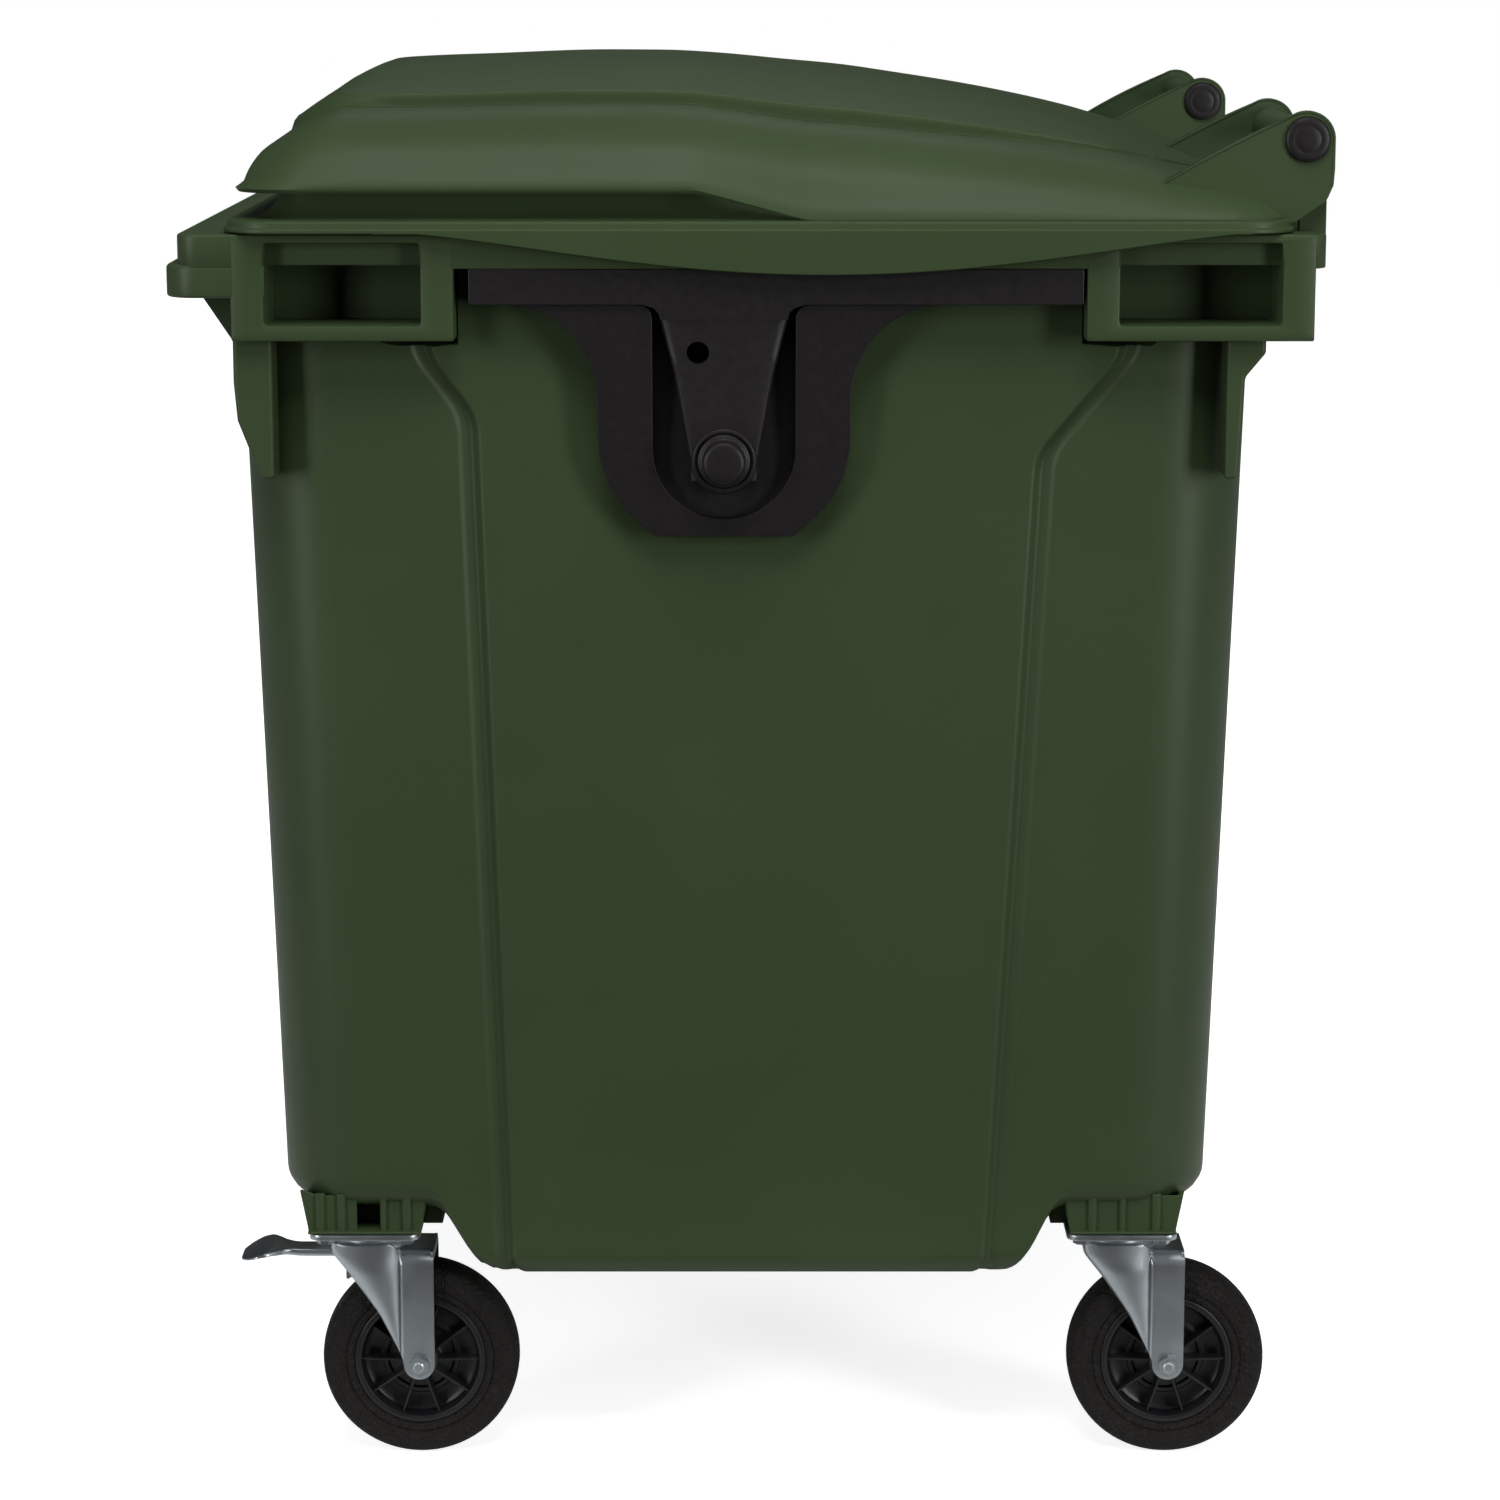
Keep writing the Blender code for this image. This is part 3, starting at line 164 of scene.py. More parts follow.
def make_piece(name, shapes, material, body, stands_for=(), bevel=0.0, angle=32, segments=2):
    """A mesh piece from shapes: doubles merged, faces turned outwards, edges sharper than
    the angle kept sharp, or rounded by the bevel where it has a width."""
    points, faces = stack_shapes(shapes)
    mesh = bpy.data.meshes.new(name)
    mesh.from_pydata(points.tolist(), [], faces)
    work = bmesh.new()
    work.from_mesh(mesh)
    bmesh.ops.remove_doubles(work, verts=work.verts, dist=MERGE_DISTANCE)
    bmesh.ops.dissolve_degenerate(work, edges=work.edges, dist=MERGE_DISTANCE)
    bmesh.ops.recalc_face_normals(work, faces=work.faces)
    work.to_mesh(mesh)
    work.free()
    mesh.materials.append(material)
    mesh.shade_smooth()
    mesh.set_sharp_from_angle(angle=math.radians(angle))
    item = link_new(name, mesh)
    if bevel > 0:
        edge = item.modifiers.new("rounded edges", "BEVEL")
        edge.width = bevel
        edge.segments = segments
        edge.limit_method = "ANGLE"
        edge.angle_limit = math.radians(angle)
        edge.use_clamp_overlap = True
        edge.harden_normals = True
    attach(item, body)
    if stands_for:
        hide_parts(*stands_for)
    return item


def cut_out(item, shape):
    """Cuts a shape out of a piece and keeps the result as the piece's mesh."""
    points, faces = shape
    mesh = bpy.data.meshes.new("drill")
    mesh.from_pydata(points.tolist(), [], faces)
    drill = link_new("drill", mesh)
    cut = item.modifiers.new("hole", "BOOLEAN")
    cut.object = drill
    cut.solver = "EXACT"
    bpy.context.view_layer.update()
    whole = item.evaluated_get(bpy.context.evaluated_depsgraph_get())
    result = bpy.data.meshes.new_from_object(whole)
    item.modifiers.remove(cut)
    item.data = result
    bpy.data.objects.remove(drill)


def soft_line(knots, ease):
    """Straight lines between knots (at, value), averaged over a width of ease on either side,
    which rounds each corner."""
    at, value = np.array(knots, float).T
    fine = np.linspace(at[0], at[-1], 4001)
    reach = max(1, round(ease / (fine[1] - fine[0])))
    wide = np.pad(np.interp(fine, at, value), reach, mode="edge")
    mean = np.convolve(wide, np.ones(2 * reach + 1) / (2 * reach + 1), "valid")
    return lambda where: np.interp(where, fine, mean)


def eased_line(knots):
    """Cubic pieces through knots (at, value). Each knot's slope is the harmonic mean of the
    slopes beside it, or level where they turn, so the line never overshoots."""
    at, value = np.array(knots, float).T
    step = np.diff(at)
    slope = np.diff(value) / step
    same = slope[:-1] * slope[1:] > 0
    total = np.where(same, slope[:-1] + slope[1:], 1.0)
    inner = np.where(same, 2 * slope[:-1] * slope[1:] / total, 0.0)
    lean = np.concatenate([slope[:1], inner, slope[-1:]])

    def line(where):
        where = np.clip(where, at[0], at[-1])
        index = np.clip(np.searchsorted(at, where, side="right") - 1, 0, len(step) - 1)
        share = (where - at[index]) / step[index]
        rest = 1 - share
        return (value[index] * (1 + 2 * share) * rest ** 2
                + value[index + 1] * share ** 2 * (3 - 2 * share)
                + step[index] * share * rest * (lean[index] * rest - lean[index + 1] * share))

    return line


def outline(corners, steps=6):
    """Closed outline whose corners (u, v, radius) are arcs that touch both sides."""
    corners = np.array(corners, float)
    spot, radius = corners[:, :2], corners[:, 2:]
    back = np.roll(spot, 1, 0) - spot
    ahead = np.roll(spot, -1, 0) - spot
    back /= np.linalg.norm(back, axis=1, keepdims=True)
    ahead /= np.linalg.norm(ahead, axis=1, keepdims=True)
    half = np.arccos(np.clip((back * ahead).sum(1, keepdims=True), -1, 1)) / 2
    half = np.minimum(half, math.pi / 2 - 0.001)
    toward = back + ahead
    toward /= np.maximum(np.linalg.norm(toward, axis=1, keepdims=True), 0.000001)
    centre = spot + toward * radius / np.sin(half)
    first = spot + back * radius / np.tan(half) - centre
    last = spot + ahead * radius / np.tan(half) - centre
    start = np.arctan2(first[:, 1], first[:, 0])
    sweep = np.arctan2(last[:, 1], last[:, 0]) - start
    sweep = (sweep + math.pi) % (2 * math.pi) - math.pi
    turn = start[:, None] + sweep[:, None] * np.linspace(0, 1, steps + 1)
    arc = np.stack([np.cos(turn), np.sin(turn)], -1) * radius[:, None]
    return (centre[:, None] + arc).reshape(-1, 2)


def slab(points, low, high):
    """An outline in Y and Z carried along X between low and high, which may differ by point."""
    points = np.asarray(points, float)
    near = np.broadcast_to(np.asarray(low, float), len(points))
    far = np.broadcast_to(np.asarray(high, float), len(points))
    rows = [np.column_stack([x, points]) for x in (near, far)]
    return skin(np.stack(rows), caps=True)


def turned(profile, sides, closed=False):
    """A profile (radius, along) turned about the X axis. Closed joins its last point to the
    first."""
    profile = np.asarray(profile, float)
    turn = np.linspace(0, 2 * math.pi, sides, endpoint=False)
    radius, along = profile[:, :1], profile[:, 1:]
    points = np.stack([along + 0 * turn, radius * np.cos(turn), radius * np.sin(turn)], -1)
    return skin(points, along=closed)


def upright(shape):
    """A shape about the X axis stood up, so that its axis is Z."""
    points, faces = shape
    return np.stack([points[:, 1], points[:, 2], points[:, 0]], 1), faces


def moved(shape, *place, side=1):
    """A shape whose X is turned to its side and which is then moved to its place."""
    points, faces = shape
    return points * (side, 1, 1) + np.array(place), faces


def mirrored(shapes, side):
    """Shapes whose X is turned to their side."""
    return [moved(shape, 0, 0, 0, side=side) for shape in shapes]


def placed(shapes, *place):
    """Shapes moved together to their place."""
    return [moved(shape, *place) for shape in shapes]


def lifted_ring(plan, height):
    """A ring seen from above, given its height."""
    return np.column_stack([plan, np.broadcast_to(height, len(plan))])


def upended_ring(ring, x):
    """A ring in Y and Z, given its place along X."""
    return np.column_stack([np.full(len(ring), x), ring])


def swung(shape, angle):
    """A shape turned about the X axis."""
    points, faces = shape
    cos, sin = math.cos(angle), math.sin(angle)
    x, y, z = points.T
    return np.stack([x, y * cos - z * sin, y * sin + z * cos], 1), faces


def rings(half_x, low_y, high_y, radius, end_y, arc=8, long_steps=48):
    """Rings (rows, columns, 2) of rounded rectangles seen from above. Each runs along the +X
    end with the given Y values, round a corner, along the rear, and so on to the front."""
    half_x, low_y, high_y, radius = (np.reshape(value, (-1, 1)).astype(float)
                                     for value in (half_x, low_y, high_y, radius))
    radius = np.clip(radius, 0, np.minimum(half_x, (high_y - low_y) / 2))
    turn = np.linspace(0, math.pi / 2, arc + 1)[None]
    cos, sin = radius * np.cos(turn), radius * np.sin(turn)
    middle = half_x - radius
    top, bottom = high_y - radius, low_y + radius
    straight = np.linspace(1, -1, long_steps)[None, 1:-1] * middle
    level, end = 0 * straight, 0 * end_y
    x = np.concatenate([half_x + end, middle + cos, straight, -(middle + cos[:, ::-1]),
                        -half_x + end, -(middle + cos), -straight, middle + cos[:, ::-1]], 1)
    y = np.concatenate([end_y, top + sin, high_y + level, top + sin[:, ::-1], end_y[:, ::-1],
                        bottom - sin, low_y + level, bottom - sin[:, ::-1]], 1)
    return np.stack([x, y], -1)


def between(low, high, count):
    """Evenly spaced values between two columns, without the ends."""
    share = np.linspace(0, 1, count + 2)[1:-1]
    return np.reshape(low, (-1, 1)) * (1 - share) + np.reshape(high, (-1, 1)) * share


# Materials
def add(tree, kind, settings=None, links=None):
    """Adds a node. Settings go to its own values or to its sockets, and links name the output
    that feeds each socket."""
    item = tree.nodes.new(kind)
    for name, value in (settings or {}).items():
        if isinstance(name, str) and hasattr(item, name):
            setattr(item, name, value)
        else:
            item.inputs[name].default_value = value
    for name, output in (links or {}).items():
        tree.links.new(output, item.inputs[name])
    return item


def start_material(name, colour, roughness, ior=1.5, metallic=0.0):
    """A new material with its shader's plain values, and the place that its patterns use."""
    item = bpy.data.materials.new(name)
    item.use_nodes = True
    tree = item.node_tree
    shader = tree.nodes["Principled BSDF"]
    shader.inputs["Base Color"].default_value = colour
    shader.inputs["Roughness"].default_value = roughness
    shader.inputs["Metallic"].default_value = metallic
    if metallic == 0:
        shader.inputs["IOR"].default_value = ior
    place = add(tree, "ShaderNodeTexCoord").outputs["Object"]
    return item, tree, shader, place


def per_metre(millimetres):
    """Noise scale whose grains are about that wide."""
    return 1000.0 / millimetres


def noise(tree, place, millimetres, detail=3.0):
    """Strength of a noise whose grains are about that many millimetres wide."""
    return add(tree, "ShaderNodeTexNoise", {"Scale": per_metre(millimetres), "Detail": detail},
               {"Vector": place}).outputs["Fac"]


def vary_colour(tree, shader, colour, fac, spread):
    """Base colour between a little darker and a little lighter, after a pattern."""
    dark = (*[c * (1 - spread) for c in colour[:3]], 1.0)
    light = (*[min(1.0, c * (1 + spread)) for c in colour[:3]], 1.0)
    ramp = add(tree, "ShaderNodeValToRGB", {}, {"Fac": fac})
    ramp.color_ramp.elements[0].position = 0.3
    ramp.color_ramp.elements[1].position = 0.7
    ramp.color_ramp.elements[0].color = dark
    ramp.color_ramp.elements[1].color = light
    tree.links.new(ramp.outputs["Color"], shader.inputs["Base Color"])


def vary_roughness(tree, shader, fac, low, high):
    """Roughness between low and high, after a pattern."""
    spread = add(tree, "ShaderNodeMapRange", {"To Min": low, "To Max": high,
                                              "From Min": 0.3, "From Max": 0.7}, {"Value": fac})
    tree.links.new(spread.outputs["Result"], shader.inputs["Roughness"])


def raise_grain(tree, shader, fac, depth, strength=1.0):
    """Bumps of that depth in metres, after a pattern."""
    bump = add(tree, "ShaderNodeBump", {"Strength": strength, "Distance": depth}, {"Height": fac})
    tree.links.new(bump.outputs["Normal"], shader.inputs["Normal"])


def moulded_polyethylene(colours):
    """Injection-moulded green polyethylene: waxy, with a fine spark-eroded grain from the mould
    that spreads its highlights, and a faint unevenness of the dye."""
    colour = tuple(colours.green)
    item, tree, shader, place = start_material("moulded_green_polyethylene", colour, 0.44, 1.54)
    shader.inputs["Specular IOR Level"].default_value = 0.20
    vary_colour(tree, shader, colour, noise(tree, place, 260, 2), 0.05)
    vary_roughness(tree, shader, noise(tree, place, 90, 3), 0.41, 0.48)
    raise_grain(tree, shader, noise(tree, place, 1.6, 2), 0.00010, 0.3)
    return item


def moulded_nylon(colours):
    """Injection-moulded black nylon: satin, with a fine grain."""
    colour = tuple(colours.black)
    item, tree, shader, place = start_material("moulded_black_nylon", colour, 0.45, 1.53)
    shader.inputs["Specular IOR Level"].default_value = 0.30
    vary_colour(tree, shader, colour, noise(tree, place, 9, 3), 0.10)
    vary_roughness(tree, shader, noise(tree, place, 7, 3), 0.42, 0.50)
    raise_grain(tree, shader, noise(tree, place, 1.2, 2), 0.00010, 0.35)
    return item


def moulded_hub(colours):
    """Moulded black polypropylene: smoother and a little bluer than the nylon."""
    colour = tuple(colours.hub)
    item, tree, shader, place = start_material("moulded_black_polypropylene", colour, 0.38, 1.49)
    shader.inputs["Specular IOR Level"].default_value = 0.35
    vary_colour(tree, shader, colour, noise(tree, place, 30, 3), 0.15)
    vary_roughness(tree, shader, noise(tree, place, 12, 3), 0.32, 0.46)
    raise_grain(tree, shader, noise(tree, place, 0.9, 2), 0.00008, 0.3)
    return item


def solid_rubber(colours):
    """Cured black rubber: dull, with the coarse pebbled grain of the tyre's mould."""
    colour = tuple(colours.rubber)
    item, tree, shader, place = start_material("solid_tyre_rubber", colour, 0.72, 1.52)
    shader.inputs["Specular IOR Level"].default_value = 0.24
    vary_colour(tree, shader, colour, noise(tree, place, 5, 4), 0.25)
    vary_roughness(tree, shader, noise(tree, place, 8, 3), 0.62, 0.80)
    raise_grain(tree, shader, noise(tree, place, 3.4, 1), 0.0040, 1.0)
    return item


def zinc_plating(colours):
    """Pressed steel with bright zinc plating: pale bluish metal, with the slight cloudiness of
    the bath and the fine lines of the rolled sheet."""
    colour = tuple(colours.zinc)
    item, tree, shader, place = start_material("bright_zinc_plated_steel", colour, 0.40,
                                               metallic=1.0)
    vary_colour(tree, shader, colour, noise(tree, place, 40, 2), 0.04)
    vary_roughness(tree, shader, noise(tree, place, 30, 2), 0.36, 0.43)
    lines = add(tree, "ShaderNodeMapping", {"Scale": (1.0, 1.0, 0.06)}, {"Vector": place})
    raise_grain(tree, shader, noise(tree, lines.outputs["Vector"], 1.1, 2), 0.00002, 0.2)
    return item


FINISHES = {"green": moulded_polyethylene, "black": moulded_nylon, "hub": moulded_hub,
            "rubber": solid_rubber, "zinc": zinc_plating}
made_finishes = {}


def finish(name):
    """The finish of that name, made once and then shared."""
    if name not in made_finishes:
        made_finishes[name] = FINISHES[name](bpy.context.scene.container_colours)
    return made_finishes[name]


# Tub
KEEL = 0.202
FLOOR = 0.270
TUB_TOP = 1.2385
TUB_RISE = 1.0385
TUB_CENTRE = -0.0047
TUB_CORNER = 0.085
POCKET_FLOOR = 1.1405
FRONT_POCKET = (-0.487, -0.278)
REAR_POCKET = (0.316, 0.530)
POCKET_BACK_X = 0.5695
# Radius that a brake pedal sweeps round its kingpin, and the front of the keel's slope
PEDAL_SWEEP = 0.146
SLOPE_FRONT = -0.31
# Share of the raised panel's rise by which the tub's lower edge hangs down under it
EDGE_HANG = 0.3
# Points across an end wall: plain wall, band over a groove and ridge, and raised panel
WALL_POINTS, BAND_POINTS, PANEL_POINTS = 20, 21, 24
# Underside: Y and height, low between the casters
UNDERSIDE = ((-0.60, FLOOR), (-0.3142, FLOOR), (-0.274, KEEL), (0.2755, KEEL),
             (0.3082, FLOOR), (0.60, FLOOR))
# Edges of the raised panel: height and Y
FRONT_RIDGE = ((0.15, -0.2505), (0.202, -0.252), (1.066, -0.278), (1.124, -0.322), (1.3, -0.322))
REAR_RIDGE = ((0.15, 0.2465), (0.202, 0.249), (1.029, 0.291), (1.124, 0.371), (1.3, 0.371))


def tub_half_x(height):
    """Half the tub's length, which grows evenly from the keel up."""
    return 0.590 + 0.022 * (height - KEEL) / TUB_RISE


def tub_half_y(height):
    """Half the tub's width, which grows evenly from the keel up."""
    return 0.4599 + 0.0299 * (height - KEEL) / TUB_RISE


def sweep_room(x, y):
    """One under the front corners where a brake pedal swings round, falling to nought outside."""
    away = np.hypot(np.abs(x) - SWIVEL_X, y - FRONT_SWIVEL_Y)
    inside = np.clip((PEDAL_SWEEP - away) / 0.010, 0, 1)
    return inside * np.clip((0.584 - np.abs(x)) / 0.008, 0, 1)


def tub_end(sizes, front, rear, low, high):
    """Y values across an end wall, and how far each lies outside the plain wall. They follow both
    ridge lines: plain wall, groove, raised panel, groove, plain wall."""
    band = np.linspace(-0.010, 0.030, BAND_POINTS)
    rise = soft_line(((-0.02, 0), (-0.0015, 0), (0.0020, -sizes.groove_depth),
                      (0.0125, -sizes.groove_depth), (0.0190, sizes.panel_proud),
                      (0.04, sizes.panel_proud)), 0.0022)(band)
    front, rear = np.reshape(front, (-1, 1)), np.reshape(rear, (-1, 1))
    y = np.concatenate([between(low, front - 0.011, WALL_POINTS), front + band,
                        between(front + 0.031, rear - 0.031, PANEL_POINTS), rear - band[::-1],
                        between(rear + 0.011, high, WALL_POINTS)], 1)
    plain = np.zeros(WALL_POINTS)
    level = np.concatenate([plain, rise, np.full(PANEL_POINTS, sizes.panel_proud), rise[::-1],
                            plain])
    return y, level


def wall_stations(sizes, share, radius, above, low, high):
    """Y values across the end walls. In the rows above the pockets' floor both bands are
    squeezed against the pockets' inner faces, where they don't show."""
    height = KEEL + radius + (TUB_TOP - KEEL - radius) * share
    front, rear = soft_line(FRONT_RIDGE, 0.016)(height), soft_line(REAR_RIDGE, 0.016)(height)
    y, level = tub_end(sizes, front, rear, low, high)
    front_face, rear_face = FRONT_POCKET[1] - 0.0001, REAR_POCKET[0] + 0.0001
    squeezed = tub_end(sizes, 0 * front + front_face, 0 * rear + rear_face, low, high)[0]
    close = np.linspace(0, 0.002, BAND_POINTS)
    second = WALL_POINTS + BAND_POINTS + PANEL_POINTS
    squeezed[:, WALL_POINTS:WALL_POINTS + BAND_POINTS] = front_face + close
    squeezed[:, second:second + BAND_POINTS] = rear_face - close[::-1]
    return np.where(above[:, None], squeezed, y), level


def tub_surface(sizes, inset):
    """Wall rows from the top down, then the rounded edge and the underside to its middle line.
    A wall point's height runs evenly from the top to the lower edge under it."""
    radius = sizes.floor_radius - inset / 2
    corner = TUB_CORNER - inset
    under = soft_line(UNDERSIDE, 0.013)
    height = np.concatenate([[TUB_TOP, 1.21, 1.17, POCKET_FLOOR + 0.001],
                             np.linspace(POCKET_FLOOR - 0.001, 1.0, 26),
                             np.linspace(0.97, FLOOR + radius, 16)])
    share = (height - height[-1]) / (TUB_TOP - height[-1])
    above = height > POCKET_FLOOR
    half_x, half_y = tub_half_x(height) - inset, tub_half_y(height) - inset
    low, high = TUB_CENTRE - half_y, TUB_CENTRE + half_y
    y, level = wall_stations(sizes, share, radius, above, low + corner, high - corner)
    plan = rings(half_x, low, high, corner, y)
    far_end = plan.shape[1] // 2
    rise = np.zeros(plan.shape[1])
    rise[:len(level)] = level
    rise[far_end:far_end + len(level)] = level[::-1]
    base_y = plan[-1, :, 1]
    edge = under(base_y) + inset - rise * EDGE_HANG + radius
    z = edge + (TUB_TOP - edge) * share[:, None]
    x = plan[..., 0] + np.sign(plan[..., 0]) * (tub_half_x(z) - tub_half_x(height)[:, None] + rise)
    beside = (plan[..., 1] < FRONT_POCKET[1]) | (plan[..., 1] > REAR_POCKET[0])
    behind = above[:, None] & beside
    x = np.where(behind, np.clip(x, -POCKET_BACK_X + inset, POCKET_BACK_X - inset), x)
    walls = np.stack([x, plan[..., 1], z], -1)
    turn = np.linspace(0, math.pi / 2, 8)[1:]
    back = np.concatenate([radius * (1 - np.cos(turn)),
                           np.array([0.045, 0.07, 0.10, 0.125]),
                           np.arange(0.135, 0.225, 0.0075), [0.26, 0.32, 0.40, half_y[-1]]])
    drop = np.concatenate([radius * np.sin(turn), np.full(len(back) - len(turn), radius)])
    shrink = 1 - back / half_y[-1]
    ends = TUB_CENTRE + (y[-1] - TUB_CENTRE) * shrink[:, None]
    plan = rings(half_x[-1] - back, low[-1] + back, high[-1] - back,
                 np.maximum(corner - back, 0), ends)
    fade = np.clip(1 - back / 0.06, 0, 1)[:, None]
    x = plan[..., 0] + np.sign(plan[..., 0]) * rise * np.clip(1 - back / radius, 0, 1)[:, None]
    ground = under(plan[..., 1])
    first = under(base_y) * fade + ground * (1 - fade)
    z = first + inset - rise * EDGE_HANG * fade + radius - drop[:, None]
    room = sweep_room(x, plan[..., 1])
    roof = np.maximum(z, 0.2 + 0.0315 * room + inset)
    z = np.where((room > 0) & (plan[..., 1] > SLOPE_FRONT), roof, z)
    return np.concatenate([walls, np.stack([x, plan[..., 1], z], -1)])


def make_tub_shell(sizes):
    """The outer surface and, a wall's thickness inside it, the inner one, joined at the mouth."""
    outer = tub_surface(sizes, 0.0)
    inner = tub_surface(sizes, sizes.wall)
    points = np.concatenate([inner[::-1], outer])
    make_piece("tub_shell", [skin(points)], finish("green"), "container",
               ["container_body"], angle=40)


# Rim
RIM_HALF_X, RIM_FRONT, RIM_REAR = 0.655, -0.538, 0.541
# Shares of an end edge: even ones, and a pair close together at each end of both windows
RIM_SHARES = np.sort(np.concatenate([np.linspace(0, 1, 32)[1:-1],
                                     [0.0590, 0.0604, 0.2005, 0.2019, 0.8319, 0.8333, 0.9781,
                                      0.9795]]))
# The pockets' windows: Y where the rim is raised over them, and its height there
WINDOW_SPANS = ((-0.4562, -0.3085), (0.3468, 0.4992))
WINDOW_HEAD = 1.2336
# The rim's closed section: share of the way out from the mouth, inset and height
RIM_SECTION = ((0.0, 0, 1.2365), (0.0, 0, 1.2397), (0.02, 0, 1.2405), (1, 0.0030, 1.2405),
               (1, 0.0012, 1.2402), (1, 0.0003, 1.2393), (1, 0, 1.2380), (1, 0, 1.2097),
               (1, 0.0006, 1.2087), (1, 0.0015, 1.2085), (1, 0.0040, 1.2085),
               (1, 0.0048, 1.2090), (1, 0.0050, 1.2100), (1, 0.0055, 1.2330),
               (1, 0.0080, 1.2350), (0.06, 0, 1.2350))


def rim_plan(half_x, low, high, radius):
    """Ring of a rounded rectangle with points at the rim's shares along its ends."""
    reach_low, reach_high = low + radius, high - radius
    side = (reach_low + (reach_high - reach_low) * RIM_SHARES)[None]
    return rings(half_x, low, high, radius, side)[0]


def over_window(plan):
    """True at the places on the end edges that lie over a pocket's window."""
    x, y = np.abs(plan[:, 0]), plan[:, 1]
    inside = [(y > low) & (y < high) for low, high in WINDOW_SPANS]
    return (x > 0.63) & np.any(inside, axis=0)


def make_rim_frame():
    """A flat ring round the mouth with a skirt on its outer edge. Each line of its section runs
    between the mouth and the outer outline at one height, raised over the pockets' windows."""
    mouth = rim_plan(0.6065, -0.4890, 0.4796, 0.080)
    rows = []
    for share, inset, height in RIM_SECTION:
        edge = rim_plan(RIM_HALF_X - inset, RIM_FRONT + inset, RIM_REAR - inset, 0.020 - inset)
        plan = mouth * (1 - share) + edge * share
        level = np.where(over_window(plan), max(height, WINDOW_HEAD), height)
        rows.append(np.column_stack([plan, level]))
    make_piece("rim_frame", [skin(np.stack(rows), along=True)], finish("green"), "container",
               angle=45)


def make_front_lip():
    """An angle section carried along a path round the front: along each end, round an arc of
    30 mm, and straight across."""
    turn = np.linspace(math.pi, 1.5 * math.pi, 10)
    arc = np.stack([np.cos(turn), np.sin(turn)], 1)
    end_x, corner_x, corner_y, radius, across = 0.6551, 0.6251, -0.520, 0.030, 28
    straight = np.linspace(-0.625, 0.625, across + 2)[1:-1]
    path = np.concatenate([[(-end_x, -0.455), (-end_x, -0.49)],
                           (-corner_x, corner_y) + radius * arc,
                           np.column_stack([straight, np.full(across, -0.550)]),
                           (corner_x, corner_y) + radius * arc[::-1] * (-1, 1),
                           [(end_x, -0.49), (end_x, -0.455)]])
    out = np.concatenate([[(-1, 0), (-1, 0)], arc, np.tile((0, -1), (across, 1)),
                          arc[::-1] * (-1, 1), [(1, 0), (1, 0)]])
    section = outline([(-0.034, 1.2165, 0), (-0.011, 1.2135, 0.004), (0, 1.2115, 0.0045),
                       (0, 1.181, 0.003), (-0.006, 1.181, 0.002), (-0.006, 1.2035, 0.002),
                       (-0.034, 1.2075, 0)], 4)
    flat = path[:, None] + out[:, None] * section[None, :, :1]
    points = np.concatenate([flat, np.broadcast_to(section[None, :, 1:], (*flat.shape[:2], 1))], 2)
    make_piece("front_lip", [skin(points, caps=True)], finish("green"), "container",
               angle=45)


def make_gussets():
    """Upright webs under the front lip, spread along it."""
    web = outline([(-0.531, 1.206, 0), (-0.524, 1.180, 0.004), (-0.4935, 1.134, 0.003),
                   (-0.485, 1.134, 0), (-0.485, 1.206, 0)], 3)
    for index, share in enumerate((-0.97, -0.5, 0.0, 0.5, 0.97), 1):
        middle = share * 0.600
        make_piece("front_gusset_%d" % index, [slab(web, middle - 0.006, middle + 0.006)],
                   finish("green"), "container", bevel=0.0012)


# Lifting pockets and posts
WINDOW_SIDE = 0.031
WINDOW_HEIGHTS = (1.155, 1.232)
# Nested rectangles of a pocket: how much larger, X and corner radius
POCKET_BOX = ((0, 0.5665, 0.002), (0, 0.6525, 0.002), (-0.0008, 0.6545, 0.003),
              (-0.0026, 0.6552, 0.004))
POCKET_WINDOW = ((0.0024, 0.6552, 0.006), (0.0008, 0.6545, 0.005), (0, 0.6525, 0.004),
                 (0, 0.5720, 0.004))


def rectangle(low_y, high_y, low_z, high_z, grow, radius):
    """Outline in Y and Z of a rounded rectangle, larger by grow on each side."""
    return outline([(low_y - grow, low_z - grow, radius), (high_y + grow, low_z - grow, radius),
                    (high_y + grow, high_z + grow, radius), (low_y - grow, high_z + grow, radius)],
                   4)


def make_pocket(side, front):
    """Nested rectangles in Y and Z, from the back of the box out to its face, over the rounded
    edge of the window and in again to the pocket's back wall."""
    low, high = FRONT_POCKET if front else REAR_POCKET
    window_low, window_high = low + WINDOW_SIDE, high - WINDOW_SIDE
    rows = []
    for grow, x, radius in POCKET_BOX:
        ring = rectangle(low, high, POCKET_FLOOR, 1.2390, grow, radius)
        rows.append(upended_ring(ring, x))
    for grow, x, radius in POCKET_WINDOW:
        ring = rectangle(window_low, window_high, *WINDOW_HEIGHTS, grow, radius)
        rows.append(upended_ring(ring, x))
    band = outline([(window_low - 0.002, 1.2110, 0.001), (window_high + 0.002, 1.2110, 0.001),
                    (window_high + 0.002, 1.2335, 0), (window_low - 0.002, 1.2335, 0)], 3)
    shapes = [skin(np.stack(rows), caps=True), slab(band, 0.600, 0.6380)]
    tag = "%s_%s" % ("front" if front else "rear", "right" if side > 0 else "left")
    make_piece("pocket_frame_" + tag, mirrored(shapes, side), finish("green"), "container",
               angle=40)
    make_post(side, front, tag)


